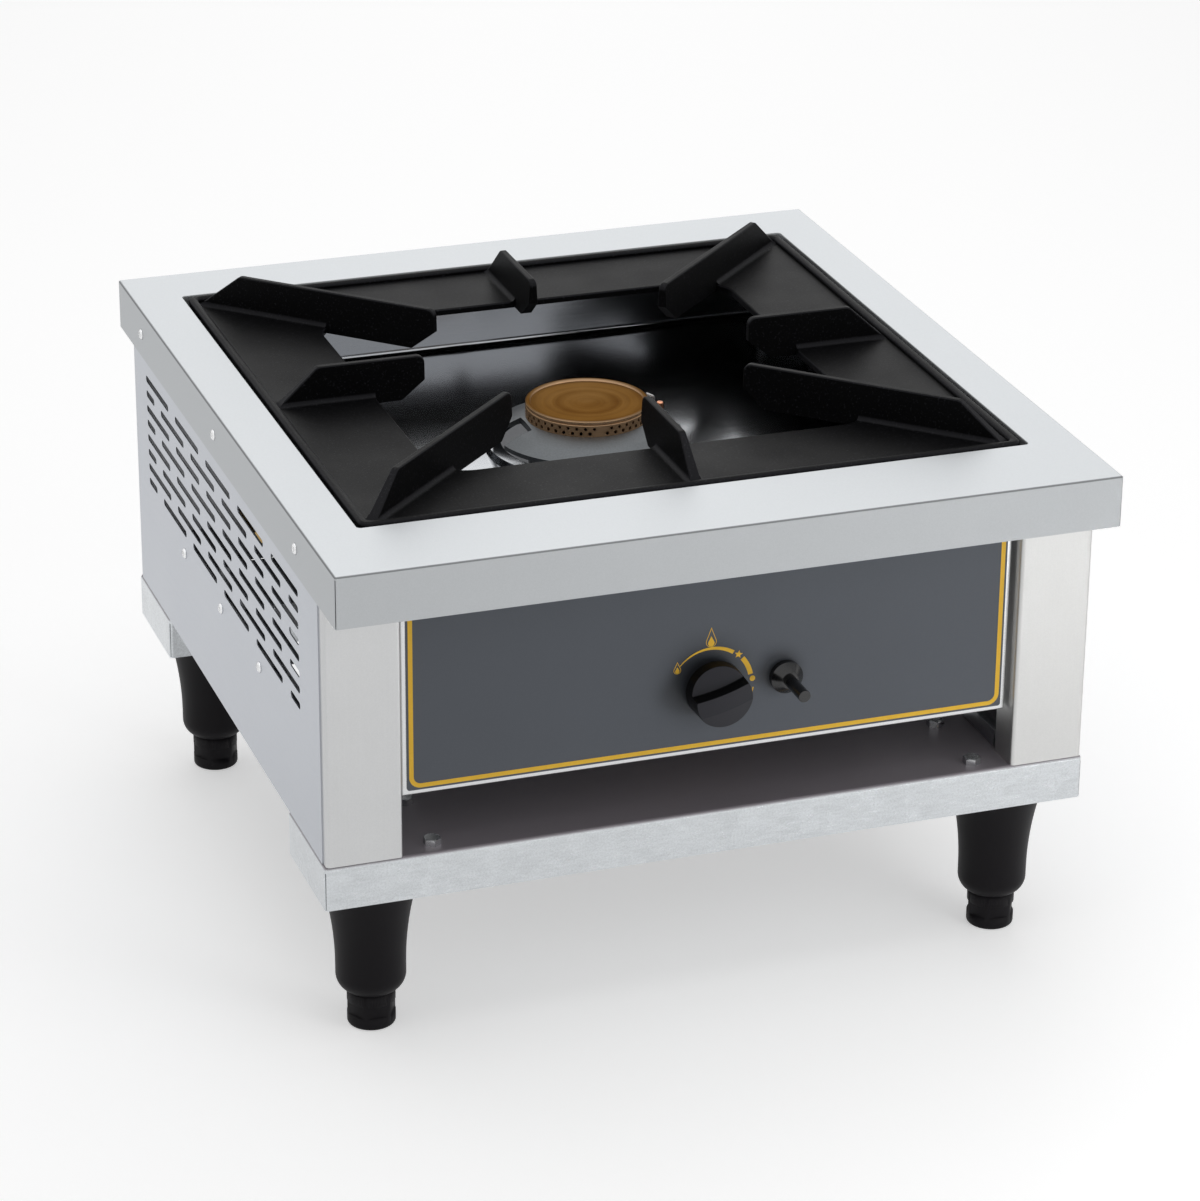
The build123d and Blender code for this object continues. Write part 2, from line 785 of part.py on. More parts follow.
# Gas tap: flange, barrel and magnet housing in line behind the panel, with an inlet and an outlet boss.
tap_rear = panel_back + tap_barrel_length + tap_magnet_length
cavity_rear = stem_rear + tap_cavity_length
with BuildPart() as gas_tap:
    with BuildSketch(front_plane(knob_x, panel_back, control_z)):
        RectangleRounded(tap_flange_width, tap_flange_height, tap_flange_corner)
        with GridLocations(tap_screw_pitch, 1, 2, 1):
            Circle(screw_radius + screw_clearance, mode=Mode.SUBTRACT)
    extrude(amount=-tap_flange_thickness)
    with BuildSketch(front_plane(knob_x, panel_back, control_z)):
        Circle(tap_barrel_radius)
    extrude(amount=-tap_barrel_length)
    with BuildSketch(front_plane(knob_x, panel_back + tap_barrel_length, control_z)):
        Circle(tap_magnet_radius)
    extrude(amount=-tap_magnet_length)
    with BuildSketch(Plane.YZ.offset(knob_x)):
        with Locations((tap_port_y, control_z)):
            Circle(tap_port_radius)
    extrude(amount=-tap_inlet_reach)
    with BuildSketch(Plane.XY.offset(control_z)):
        with Locations((knob_x, tap_port_y)):
            Circle(tap_port_radius)
    extrude(amount=tap_outlet_reach)
    with BuildSketch(front_plane(knob_x, panel_back, control_z)):
        Circle(stem_radius + running_gap)
    extrude(amount=panel_back - stem_rear, mode=Mode.SUBTRACT)
    with BuildSketch(front_plane(knob_x, stem_rear, control_z)):
        Circle(tap_cavity_radius)
    extrude(amount=-tap_cavity_length, mode=Mode.SUBTRACT)
    with BuildSketch(front_plane(knob_x, cavity_rear, control_z)):
        Circle(plunger_radius + running_gap)
    extrude(amount=stem_rear + tap_cavity_length - tap_rear + plunger_bore_reach, mode=Mode.SUBTRACT)
save(gas_tap.part, "gas_tap")

# Screws that hold the tap flange to the control panel.
with BuildPart() as tap_screws:
    for sign in (-1, 1):
        screw_x = knob_x + sign * tap_screw_pitch / 2
        with BuildSketch(front_plane(screw_x, panel_back, control_z)):
            Circle(screw_radius)
        extrude(amount=-tap_flange_thickness)
        with BuildSketch(front_plane(screw_x, panel_back + tap_flange_thickness, control_z)):
            Circle(screw_head_radius)
        extrude(amount=-screw_head_height)
save(tap_screws.part, "tap_screws")

# Tap stem: a rod from the plunger to the inside of the knob, with a flat that drives the knob.
with BuildPart() as tap_stem:
    with BuildSketch(front_plane(knob_x, stem_rear, control_z)):
        Circle(stem_radius)
    extrude(amount=stem_length)
    with BuildSketch(front_plane(knob_x, stem_front + stem_flat_length, control_z)):
        with Locations((0, stem_radius)):
            Rectangle(2 * stem_radius, 2 * stem_flat)
    extrude(amount=stem_flat_length, mode=Mode.SUBTRACT)
save(tap_stem.part, "tap_stem")

# Safety plunger: pushed back by the stem against its spring to open the magnet valve.
with BuildPart() as tap_plunger:
    with BuildSketch(front_plane(knob_x, stem_rear, control_z)):
        Circle(plunger_head_radius)
    extrude(amount=-plunger_head)
    with BuildSketch(front_plane(knob_x, stem_rear, control_z)):
        Circle(plunger_radius)
    extrude(amount=-plunger_length)
save(tap_plunger.part, "tap_plunger")

save(
    coil_spring((knob_x, stem_rear + plunger_head, control_z), tap_cavity_length - plunger_head),
    "tap_spring",
)

# Knob: a drafted drum with an arched grip, a thumb step above it and a slope below it, at its off place.
pointer = radians(knob_pointer_angle)
knob_plane = Plane(
    origin=(knob_x, knob_back, control_z),
    x_dir=(cos(pointer), 0, sin(pointer)),
    z_dir=(0, -1, 0),
)
knob_section = Plane(origin=knob_plane.origin, x_dir=knob_plane.y_dir, z_dir=knob_plane.x_dir)
knob_arch_axis = Axis(knob_section.from_local_coords((0, knob_depth - knob_arch)), knob_plane.y_dir)
grip_edge = knob_bar_width / 2
step_foot = (grip_edge + knob_bar_draft, knob_depth - knob_step)
with BuildPart() as knob:
    with BuildSketch(knob_plane):
        Circle(knob_radius)
    extrude(amount=knob_depth + knob_edge, taper=knob_draft)
    with BuildSketch(knob_section) as grip_profile:
        with BuildLine():
            Polyline(
                (-2 * knob_radius, -knob_radius),
                (-2 * knob_radius, knob_depth - knob_lower_drop),
                (-knob_radius, knob_depth - knob_lower_drop),
                (-grip_edge, knob_depth),
                (grip_edge, knob_depth),
                step_foot,
                (knob_radius, knob_depth - knob_upper_drop),
                (2 * knob_radius, knob_depth - knob_upper_drop),
                (2 * knob_radius, -knob_radius),
                close=True,
            )
        make_face()
        fillet(grip_profile.vertices().sort_by_distance(step_foot)[0], knob_step_fillet)
        fillet(grip_profile.vertices().group_by(Axis.Y)[-1], knob_edge)
    revolve(axis=knob_arch_axis, mode=Mode.INTERSECT)
    drum = knob.faces().filter_by(GeomType.CONE).sort_by(SortBy.AREA)[-1]
    front_edges = drum.edges().sort_by(Axis.Y)[:-1].filter_by(GeomType.CIRCLE, reverse=True)
    fillet(front_edges, knob_edge)
    with BuildSketch(front_plane(knob_x, knob_back, control_z)):
        Circle(stem_radius + running_gap / 2)
        with Locations((0, stem_radius + running_gap / 2)):
            Rectangle(3 * stem_radius, 2 * stem_flat, mode=Mode.SUBTRACT)
    extrude(amount=stem_in_knob, mode=Mode.SUBTRACT)
save(knob.part, "knob")

# Igniter: a barrel through the panel with a conical nose, held by a nut, with a sprung button inside.
barrel_rear = faceplate_front + igniter_barrel_length
nose_front = faceplate_front - igniter_bezel_depth - igniter_cone_depth
cavity_front = faceplate_front + button_cavity_start
button_front = faceplate_front - button_reach
igniter_axis = Axis((igniter_x, 0, control_z), (0, 1, 0))
igniter_plane = Plane(origin=(igniter_x, 0, control_z), x_dir=(1, 0, 0), z_dir=(0, 0, 1))
with BuildPart() as igniter_body:
    with BuildSketch(igniter_plane):
        with BuildLine():
            Polyline(
                (button_radius + running_gap, nose_front),
                (igniter_nose_radius, nose_front),
                (igniter_bezel_radius, faceplate_front - igniter_bezel_depth),
                (igniter_bezel_radius, faceplate_front),
                (igniter_barrel_radius, faceplate_front),
                (igniter_barrel_radius, barrel_rear),
                (terminal_radius, barrel_rear),
                (terminal_radius, barrel_rear + terminal_length),
                (0, barrel_rear + terminal_length),
                (0, cavity_front + button_cavity_length),
                (button_cavity_radius, cavity_front + button_cavity_length),
                (button_cavity_radius, cavity_front),
                (button_radius + running_gap, cavity_front),
                close=True,
            )
        make_face()
    revolve(axis=igniter_axis)
save(igniter_body.part, "igniter_body")

with BuildPart() as igniter_button:
    with BuildSketch(front_plane(igniter_x, cavity_front, control_z)):
        Circle(button_radius)
    extrude(amount=cavity_front - button_front)
    fillet(igniter_button.edges().group_by(Axis.Y)[0], button_edge)
    with BuildSketch(front_plane(igniter_x, cavity_front, control_z)):
        Circle(button_head_radius)
    extrude(amount=-button_head)
save(igniter_button.part, "igniter_button")

save(
    coil_spring((igniter_x, cavity_front + button_head, control_z), button_cavity_length - button_head),
    "igniter_spring",
)

igniter_nut_plane = front_plane(igniter_x, panel_back + igniter_nut_thickness, control_z)
save(
    hex_nut(
        igniter_nut_plane,
        igniter_nut_flats,
        igniter_barrel_radius + hole_clearance,
        igniter_nut_thickness,
    ),
    "igniter_nut",
)

# Burner angles: shelves inside the side panels that carry the burner bridge.
for side, sign in sides:
    with BuildPart() as burner_angle:
        with BuildSketch(front_plane(0, body_middle - angle_length / 2, 0)):
            with BuildLine():
                FilletPolyline(
                    (sign * (inner_face - angle_sheet / 2), angle_top - angle_leg),
                    (sign * (inner_face - angle_sheet / 2), angle_top - angle_sheet / 2),
                    (sign * (inner_face - angle_shelf), angle_top - angle_sheet / 2),
                    radius=angle_sheet,
                )
            trace(line_width=angle_sheet)
        extrude(amount=-angle_length)
        with BuildSketch(Plane.YZ.offset(sign * inner_face)):
            with Locations((vent_middle, lower_screw_z)):
                with GridLocations(lower_screw_pitch, 1, 3, 1):
                    Circle(screw_radius + screw_clearance)
        extrude(amount=-sign * angle_sheet, mode=Mode.SUBTRACT)
        with BuildSketch(Plane.XY.offset(angle_top)):
            with Locations((sign * (inner_face - angle_shelf + bridge_bolt_inset), burner_y)):
                with GridLocations(1, bridge_bolt_pitch, 1, 2):
                    Circle(bolt_radius + bolt_clearance)
        extrude(amount=-angle_sheet, mode=Mode.SUBTRACT)
    save(burner_angle.part, f"burner_angle_{side}")

# Burner bridge: a plate across the body with a stiffening flange turned down along each long edge.
bridge_half = inner_face - angle_sheet - bridge_end_gap
bridge_flange_half = inner_face - angle_shelf - bridge_sheet
bridge_bolt_x = inner_face - angle_shelf + bridge_bolt_inset
with BuildPart() as burner_bridge:
    with BuildSketch(Plane.XY.offset(angle_top)):
        with Locations((0, burner_y)):
            Rectangle(2 * bridge_half, bridge_depth)
    extrude(amount=bridge_sheet)
    with BuildSketch(Plane.XY.offset(bridge_top)):
        with Locations((0, burner_y)):
            with GridLocations(1, bridge_depth - bridge_sheet, 1, 2):
                Rectangle(2 * bridge_flange_half, bridge_sheet)
    extrude(amount=-bridge_flange)
    with BuildSketch(Plane.XY.offset(bridge_top)):
        with Locations((0, burner_y)):
            with GridLocations(pedestal_bolt_pitch, 1, 2, 1):
                Circle(bolt_radius + bolt_clearance)
            with GridLocations(2 * bridge_bolt_x, bridge_bolt_pitch, 2, 2):
                Circle(bolt_radius + bolt_clearance)
    extrude(amount=-bridge_sheet, mode=Mode.SUBTRACT)
save(burner_bridge.part, "burner_bridge")

# Burner body: a casting with a seat for the head, a skirt, a cup, a neck, a mixing tube and an air box.
pedestal_top = bridge_top + pedestal_flange
neck_bottom = tube_z - tube_floor
cup_bottom = seat_z - cup_depth
burner_plane = front_plane(0, burner_y, 0)
burner_axis = Axis((0, burner_y, 0), (0, 0, 1))
with BuildPart() as burner_body:
    with BuildSketch(burner_plane):
        with BuildLine():
            Line((0, seat_z), (head_radius - seat_gap, seat_z))
            Line((head_radius - seat_gap, seat_z), (shoulder_radius, seat_z - shoulder_drop))
            Line((shoulder_radius, seat_z - shoulder_drop), (skirt_radius, seat_z - skirt_drop))
            Polyline(
                (skirt_radius, seat_z - skirt_drop),
                (skirt_radius, seat_z - skirt_drop - skirt_edge),
                (shoulder_radius, seat_z - shoulder_drop - skirt_edge),
                (cup_radius, seat_z - shoulder_drop),
                (cup_radius, cup_bottom),
                (neck_radius, cup_bottom - neck_cone),
                (neck_radius, neck_bottom),
                (0, neck_bottom),
                (0, seat_z),
            )
        make_face()
    revolve(axis=burner_axis)
    with BuildSketch(front_plane(0, burner_y, tube_z)):
        Circle(tube_radius)
    extrude(amount=air_box_start)
    with BuildSketch(front_plane(0, burner_y - air_box_start, tube_z)):
        Circle(air_box_radius)
    extrude(amount=air_box_length)
    with BuildSketch(Plane.XY.offset(bridge_top)):
        with Locations((0, burner_y)):
            Circle(pedestal_radius)
    extrude(amount=neck_bottom - bridge_top)
    with BuildSketch(Plane.XY.offset(bridge_top)):
        with Locations((0, burner_y)):
            RectangleRounded(pedestal_width, pedestal_depth, pedestal_corner)
            with GridLocations(pedestal_bolt_pitch, 1, 2, 1):
                Circle(bolt_radius + bolt_clearance, mode=Mode.SUBTRACT)
    extrude(amount=pedestal_flange)
    with BuildSketch(Plane.YZ.offset(pad_face)):
        with Locations((burner_y, seat_z - pad_drop - pad_height / 2)):
            Rectangle(pad_width, pad_height)
    extrude(amount=-(pad_face - head_skirt_radius - head_wall / 2))
    with BuildSketch(burner_plane):
        with BuildLine():
            Polyline(
                (0, seat_z),
                (head_skirt_radius + seat_gap, seat_z),
                (head_skirt_radius + seat_gap, cup_bottom + cup_floor),
                (neck_bore, cup_bottom - neck_cone + cup_floor),
                (neck_bore, neck_bottom + cup_floor),
                (0, neck_bottom + cup_floor),
                close=True,
            )
        make_face()
    revolve(axis=burner_axis, mode=Mode.SUBTRACT)
    with BuildSketch(front_plane(0, burner_y, tube_z)):
        Circle(tube_bore)
    extrude(amount=air_box_start + air_box_length - air_box_wall, mode=Mode.SUBTRACT)
    with BuildSketch(front_plane(0, burner_y - air_box_start - air_box_wall, tube_z)):
        Circle(air_box_bore)
    extrude(amount=air_box_length - 2 * air_box_wall, mode=Mode.SUBTRACT)
    with BuildSketch(front_plane(0, air_box_front, tube_z)):
        Circle(injector_radius + hole_clearance)
    extrude(amount=-air_box_wall, mode=Mode.SUBTRACT)
    with BuildSketch(Plane.YZ.offset(-air_box_radius)):
        with Locations((air_box_front + window_offset + window_length / 2, tube_z)):
            Rectangle(window_length, window_height)
    extrude(amount=2 * air_box_radius, mode=Mode.SUBTRACT)
    with BuildSketch(Plane.XY.offset(seat_z)):
        for sign in (-1, 1):
            with Locations((sign * (notch_start + skirt_radius) / 2, burner_y)):
                Rectangle(skirt_radius - notch_start + 2 * seat_gap, notch_width)
    extrude(amount=-skirt_drop - skirt_edge, mode=Mode.SUBTRACT)
save(burner_body.part, "burner_body")

# Burner head: a turned brass cap with a rolled lip, a dished top and two staggered rows of flame ports.
lip_inner = head_radius - head_lip_width
lip_base = head_height - 2 * head_lip
port_rows = (
    (lower_port_rise, lower_port_radius, 0),
    (upper_port_rise, upper_port_radius, 0.5),
)
with BuildPart() as burner_head:
    with BuildSketch(front_plane(0, burner_y, seat_z)):
        with BuildLine():
            Polyline(
                (head_radius, head_height - head_lip / 2),
                (head_radius, lip_base + head_groove),
                (head_radius - head_groove, lip_base),
                (head_radius, lip_base - head_groove),
                (head_radius, 0),
                (head_skirt_radius, 0),
                (head_skirt_radius, -head_skirt),
                (head_skirt_radius - head_skirt_wall, -head_skirt),
                (head_skirt_radius - head_skirt_wall, head_groove),
                (head_radius - head_wall, lower_port_rise),
                (head_radius - head_wall, head_height - head_dish - head_roof + head_lip / 2),
                (0, head_height - head_dish - head_roof),
                (0, head_height - head_dish),
                (lip_inner, head_height - head_lip),
            )
            ThreePointArc(
                (lip_inner, head_height - head_lip),
                (head_radius - head_lip_width / 2, head_height),
                (head_radius, head_height - head_lip / 2),
            )
        make_face()
    revolve(axis=burner_axis)
    for rise, port_radius, shift in port_rows:
        pitch = 360 / port_count
        ring = PolarLocations(head_radius, port_count, start_angle=shift * pitch)
        ports = [place for step, place in enumerate(ring.local_locations) if (step + 1) % port_blank_every]
        with Locations((0, burner_y, seat_z + rise)):
            with Locations(*ports):
                Cylinder(port_radius, 3 * head_wall, rotation=(0, 90, 0), mode=Mode.SUBTRACT)
save(burner_head.part, "burner_head")

# Bolts of the burner: two through its pedestal and four through the ends of the bridge.
burner_bolt = hex_bolt()
with BuildPart() as burner_bolts:
    with Locations((0, burner_y, pedestal_top)):
        with GridLocations(pedestal_bolt_pitch, 1, 2, 1):
            add(burner_bolt)
    with Locations((0, burner_y, bridge_top)):
        with GridLocations(2 * bridge_bolt_x, bridge_bolt_pitch, 2, 2):
            add(burner_bolt)
save(burner_bolts.part, "burner_bolts")

# Air shutter: a sleeve that slides along the air box over its two windows.
shutter_bore = air_box_radius + shutter_gap
with BuildPart() as air_shutter:
    with BuildSketch(front_plane(0, air_box_front, tube_z)):
        Circle(shutter_bore + shutter_wall)
        Circle(shutter_bore, mode=Mode.SUBTRACT)
    extrude(amount=-shutter_length)
save(air_shutter.part, "air_shutter")

# Injector: a hexagon against the end of the air box, a threaded body through it and a drilled tip.
with BuildPart() as injector:
    with BuildSketch(front_plane(0, air_box_front, tube_z)):
        RegularPolygon(injector_flats / 2, 6, major_radius=False)
    extrude(amount=injector_hex)
    with BuildSketch(front_plane(0, air_box_front, tube_z)):
        Circle(injector_radius)
    extrude(amount=-injector_reach)
    with BuildSketch(front_plane(0, air_box_front + injector_reach, tube_z)):
        Circle(injector_tip_radius)
    extrude(amount=-injector_tip)
    with BuildSketch(front_plane(0, air_box_front - injector_hex, tube_z)):
        Circle(injector_bore)
    extrude(amount=-(injector_hex + injector_reach + injector_tip), mode=Mode.SUBTRACT)
save(injector.part, "injector")

# Pilot bracket: a strap on the cup's pad that holds the thermocouple and the electrode in a skirt notch.
bracket_top = seat_z - bracket_drop
bracket_x = pad_face + bracket_sheet / 2
probe_y = burner_y - probe_spacing / 2
spark_y = burner_y + probe_spacing / 2
with BuildPart() as pilot_bracket:
    with BuildSketch(front_plane(0, burner_y, 0)):
        with BuildLine():
            FilletPolyline(
                (bracket_x, bracket_top - bracket_leg),
                (bracket_x, bracket_top - bracket_sheet / 2),
                (bracket_x + bracket_reach, bracket_top - bracket_sheet / 2),
                radius=bracket_sheet,
            )
        trace(line_width=bracket_sheet)
    extrude(amount=bracket_width / 2, both=True)
    with BuildSketch(Plane.XY.offset(bracket_top)):
        with Locations((probe_offset, probe_y)):
            Circle(probe_radius + hole_clearance)
        with Locations((probe_offset, spark_y)):
            Circle(insulator_radius + hole_clearance)
    extrude(amount=-bracket_sheet, mode=Mode.SUBTRACT)
save(pilot_bracket.part, "pilot_bracket")

# Thermocouple probe, with its nut under the bracket.
with BuildPart() as thermocouple:
    with BuildSketch(Plane.XY.offset(bracket_top - probe_tail)):
        with Locations((probe_offset, probe_y)):
            Circle(probe_radius)
    extrude(amount=probe_tail + probe_rise)
    fillet(thermocouple.edges().group_by(Axis.Z)[-1], probe_radius / 2)
    with BuildSketch(Plane.XY.offset(bracket_top - bracket_sheet)):
        with Locations((probe_offset, probe_y)):
            RegularPolygon(probe_nut_radius, 6)
    extrude(amount=-probe_nut)
save(thermocouple.part, "thermocouple")

# Spark electrode: a ceramic sleeve with a collar on the bracket, and a rod bent towards the brass head.
with BuildPart() as electrode_insulator:
    with BuildSketch(Plane.XY.offset(bracket_top - insulator_tail)):
        with Locations((probe_offset, spark_y)):
            Circle(insulator_radius)
            Circle(electrode_radius + running_gap, mode=Mode.SUBTRACT)
    extrude(amount=insulator_tail + insulator_rise)
    with BuildSketch(Plane.XY.offset(bracket_top)):
        with Locations((probe_offset, spark_y)):
            Circle(insulator_collar)
            Circle(insulator_radius, mode=Mode.SUBTRACT)
    extrude(amount=insulator_collar - insulator_radius)
save(electrode_insulator.part, "electrode_insulator")

spark_top = bracket_top + electrode_rise
spark_reach = head_radius + spark_gap + electrode_radius
spark_turn = probe_offset - spark_reach
save(
    bent_tube(
        [
            (probe_offset, spark_y, bracket_top - electrode_tail),
            (probe_offset, spark_y, spark_top),
            (spark_reach, spark_y, spark_top + spark_turn / 2),
        ],
        3 * electrode_radius,
        electrode_radius,
        0,
    ),
    "spark_electrode",
)

# Leads: the ignition wire to the igniter's terminal and the capillary to the tap's magnet housing.
ignition_route = [
    (probe_offset, spark_y, bracket_top - electrode_tail),
    (probe_offset, spark_y, 296.0),
    (66.0, 4.0, 276.0),
    (74.0, -36.0, 266.0),
    (76.0, -86.0, 262.0),
    (72.0, -136.0, 259.0),
    (66.0, -176.0, 257.0),
    (igniter_x, -206.0, control_z),
    (igniter_x, barrel_rear + terminal_length, control_z),
]
capillary_route = [
    (probe_offset, probe_y, bracket_top - probe_tail),
    (probe_offset, probe_y, 298.0),
    (53.0, -16.0, 278.0),
    (46.0, -56.0, 266.0),
    (40.0, -96.0, 262.0),
    (30.0, -132.0, 258.0),
    (12.0, -156.0, 256.0),
    (knob_x, -174.0, control_z),
    (knob_x, tap_rear, control_z),
]
for name, route, radius in (
    ("ignition_lead", ignition_route, lead_radius),
    ("thermocouple_lead", capillary_route, capillary_radius),
):
    bends = widest_bends(route)
    print(name, "bend radii", [round(bend, 1) for bend in bends])
    save(bent_tube(route, bends, radius, 0), name)

# Gas inlet: a hexagon inside the rear panel, a threaded stub out through it and a body for the supply pipe.
inlet_hex_front = rear_inner_face - inlet_hex
inlet_body_front = inlet_hex_front - inlet_body_length
inlet_neck_end = body_back + inlet_nut_thickness
inlet_end = inlet_neck_end + inlet_thread_length
with BuildPart() as gas_inlet:
    with BuildSketch(front_plane(inlet_x, rear_inner_face, inlet_height)):
        RegularPolygon(inlet_hex_flats / 2, 6, major_radius=False)
    extrude(amount=inlet_hex)
    with BuildSketch(front_plane(inlet_x, inlet_hex_front, inlet_height)):
        Circle(inlet_body_radius)
    extrude(amount=inlet_body_length)
    with BuildSketch(front_plane(inlet_x, inlet_neck_end, inlet_height)):
        Circle(inlet_neck_radius)
    extrude(amount=inlet_neck_end - rear_inner_face)
    with BuildSketch(front_plane(inlet_x, inlet_end, inlet_height)):
        Circle(inlet_thread_radius)
    extrude(amount=inlet_thread_length)
    chamfer(gas_inlet.edges().group_by(Axis.Y)[-1], panel_sheet)
    with BuildSketch(front_plane(inlet_x, inlet_end, inlet_height)):
        Circle(inlet_bore)
    extrude(amount=inlet_end - rear_inner_face, mode=Mode.SUBTRACT)
save(gas_inlet.part, "gas_inlet")

inlet_nut_plane = Plane(origin=(inlet_x, body_back, inlet_height), x_dir=(1, 0, 0), z_dir=(0, 1, 0))
save(
    hex_nut(inlet_nut_plane, inlet_hex_flats, inlet_neck_radius + running_gap, inlet_nut_thickness),
    "inlet_nut",
)

# Pipes: the supply from the inlet to the tap, and the branch from the tap to the injector.
tap_inlet_x = knob_x - tap_inlet_reach
tap_outlet_z = control_z + tap_outlet_reach
injector_rear = air_box_front - injector_hex
supply_step = control_z - inlet_height
save(
    bent_tube(
        [
            (inlet_x, inlet_body_front, inlet_height),
            (inlet_x, tap_port_y, inlet_height),
            (inlet_x, tap_port_y, control_z),
            (tap_inlet_x, tap_port_y, control_z),
        ],
        min(supply_bend, bend_share * supply_step),
        supply_radius,
        pipe_wall,
    ),
    "supply_pipe",
)
save(
    bent_tube(
        [(knob_x, tap_port_y, tap_outlet_z), (knob_x, tap_port_y, tube_z), (knob_x, injector_rear, tube_z)],
        branch_bend,
        branch_radius,
        pipe_wall,
    ),
    "injector_pipe",
)

# Pipe nuts, one at each end of each pipe.
supply_nut_flats = 2 * (supply_radius + pipe_nut_margin)
branch_nut_flats = 2 * (branch_radius + pipe_nut_margin)
tap_inlet_plane = Plane(origin=(tap_inlet_x, tap_port_y, control_z), x_dir=(0, 1, 0), z_dir=(-1, 0, 0))
tap_outlet_plane = Plane.XY.offset(tap_outlet_z).move(Location((knob_x, tap_port_y, 0)))
supply_nuts = [
    hex_nut(plane, supply_nut_flats, supply_radius + running_gap, pipe_nut_length)
    for plane in (front_plane(inlet_x, inlet_body_front, inlet_height), tap_inlet_plane)
]
branch_nuts = [
    hex_nut(plane, branch_nut_flats, branch_radius + running_gap, pipe_nut_length)
    for plane in (tap_outlet_plane, front_plane(knob_x, injector_rear, tube_z))
]
with BuildPart() as pipe_nuts:
    add(supply_nuts)
    add(branch_nuts)
save(pipe_nuts.part, "pipe_nuts")

# Spill tray: a pan hung by its rim on the ledge, with a raised collar round the burner.
tray_rim_width = opening_width - 2 * tray_clearance
tray_rim_depth = opening_depth - 2 * tray_clearance
tray_width = opening_width - 2 * (ledge_width + tray_ledge_gap)
tray_depth = opening_depth - 2 * (ledge_width + tray_ledge_gap)
tray_floor = ledge_top - tray_drop
tray_top = ledge_top + tray_sheet
with BuildPart() as spill_tray:
    with BuildSketch(Plane.XY.offset(tray_top)):
        with Locations((0, burner_y)):
            RectangleRounded(tray_width, tray_depth, tray_corner)
    extrude(amount=tray_floor - tray_top)
    fillet(spill_tray.faces().sort_by(Axis.Z)[0].edges(), tray_bend)
    offset(amount=-tray_sheet, openings=spill_tray.faces().sort_by(Axis.Z)[-1])
    with BuildSketch(Plane.XY.offset(ledge_top)):
        with Locations((0, burner_y)):
            RectangleRounded(tray_rim_width, tray_rim_depth, support_corner)
            RectangleRounded(
                tray_width - tray_sheet,
                tray_depth - tray_sheet,
                tray_corner - tray_sheet / 2,
                mode=Mode.SUBTRACT,
            )
    extrude(amount=tray_sheet)
    with BuildSketch(Plane.XY.offset(tray_floor)):
        with Locations((0, burner_y)):
            Circle(collar_radius)
    extrude(amount=tray_sheet, mode=Mode.SUBTRACT)
    with BuildSketch(burner_plane):
        with BuildLine():
            Polyline(
                (collar_radius, tray_floor + tray_sheet / 2),
                (collar_radius - collar_draft, tray_floor + collar_rise),
                (collar_hole + tray_sheet / 2, tray_floor + collar_rise),
                (collar_hole + tray_sheet / 2, tray_floor + collar_rise - collar_lip),
            )
        trace(line_width=tray_sheet)
    revolve(axis=burner_axis)
save(spill_tray.part, "spill_tray")

# Pan support: one casting with a beaded rim, a flat web and eight drafted fins that rise towards the pan.
support_width = opening_width - 2 * support_gap
support_depth = opening_depth - 2 * support_gap
support_bottom = tray_top
support_rim_top = top_z + support_rim_rise
web_top = top_z - web_sink
web_bottom = web_top - web_thickness
fin_top = top_z + fin_rise
fin_nose_z = top_z + fin_nose_rise
web_inner_x = support_width / 2 - web_width
web_inner_y = support_depth / 2 - web_width
rim_inner_x = support_width / 2 - support_rim
rim_inner_y = support_depth / 2 - support_rim
rim_corner = hypot(rim_inner_x, rim_inner_y)
web_diagonal = hypot(web_inner_x, web_inner_y) - (sqrt(2) - 1) * web_corner


def fin_outline(foot, slope_run):
    """The side outline of a fin along +X: a nose, a level top, a slope to the rim and a foot in the web."""
    with BuildSketch(front_plane(0, 0, 0)) as outline:
        with BuildLine():
            Polyline(
                (fin_inner_radius, fin_top),
                (foot - slope_run, fin_top),
                (foot, web_top),
                (foot, web_bottom),
                (fin_inner_radius + fin_nose_run, web_bottom),
                (fin_inner_radius, fin_nose_z),
                close=True,
            )
        make_face()
        fillet(outline.vertices().group_by(Axis.Y)[-1], fin_shoulder)
    return outline.sketch


def cast_fin(foot, slope_run, web_start):
    """One fin along +X, narrowed upwards by its draft, with concave roots where it stands on the web."""
    draft = (fin_root - fin_ridge) / 2 / (fin_top - web_bottom)
    root_half = fin_root / 2 - draft * web_thickness
    root_top_half = root_half - draft * fin_fillet
    root_reach = root_half + fin_fillet
    with BuildPart() as root:
        extrude(fin_outline(foot, slope_run), amount=root_reach, both=True)
        with BuildSketch(Plane.YZ.offset(web_start)):
            with BuildLine():
                for sign in (-1, 1):
                    TangentArc(
                        (sign * root_reach, web_top),
                        (sign * root_top_half, web_top + fin_fillet),
                        tangent=(-sign, 0),
                    )
                    Line((sign * root_reach, web_top), (sign * root_reach, web_bottom))
                Line((-root_top_half, web_top + fin_fillet), (root_top_half, web_top + fin_fillet))
                Line((-root_reach, web_bottom), (root_reach, web_bottom))
            make_face()
        extrude(amount=foot - web_start, mode=Mode.INTERSECT)
    with BuildPart() as fin:
        extrude(fin_outline(foot, slope_run), amount=fin_root, both=True)
        with BuildSketch(Plane.YZ):
            with BuildLine():
                Polyline(
                    (-fin_root / 2, web_bottom),
                    (fin_root / 2, web_bottom),
                    (fin_ridge / 2, fin_top),
                    (-fin_ridge / 2, fin_top),
                    close=True,
                )
            make_face()
        extrude(amount=2 * foot, mode=Mode.INTERSECT)
        ridge_edges = fin.faces().sort_by(Axis.Z)[-1].edges().filter_by(Axis.X)
        fillet(ridge_edges, fin_round)
        add(root.part)
    return fin.part


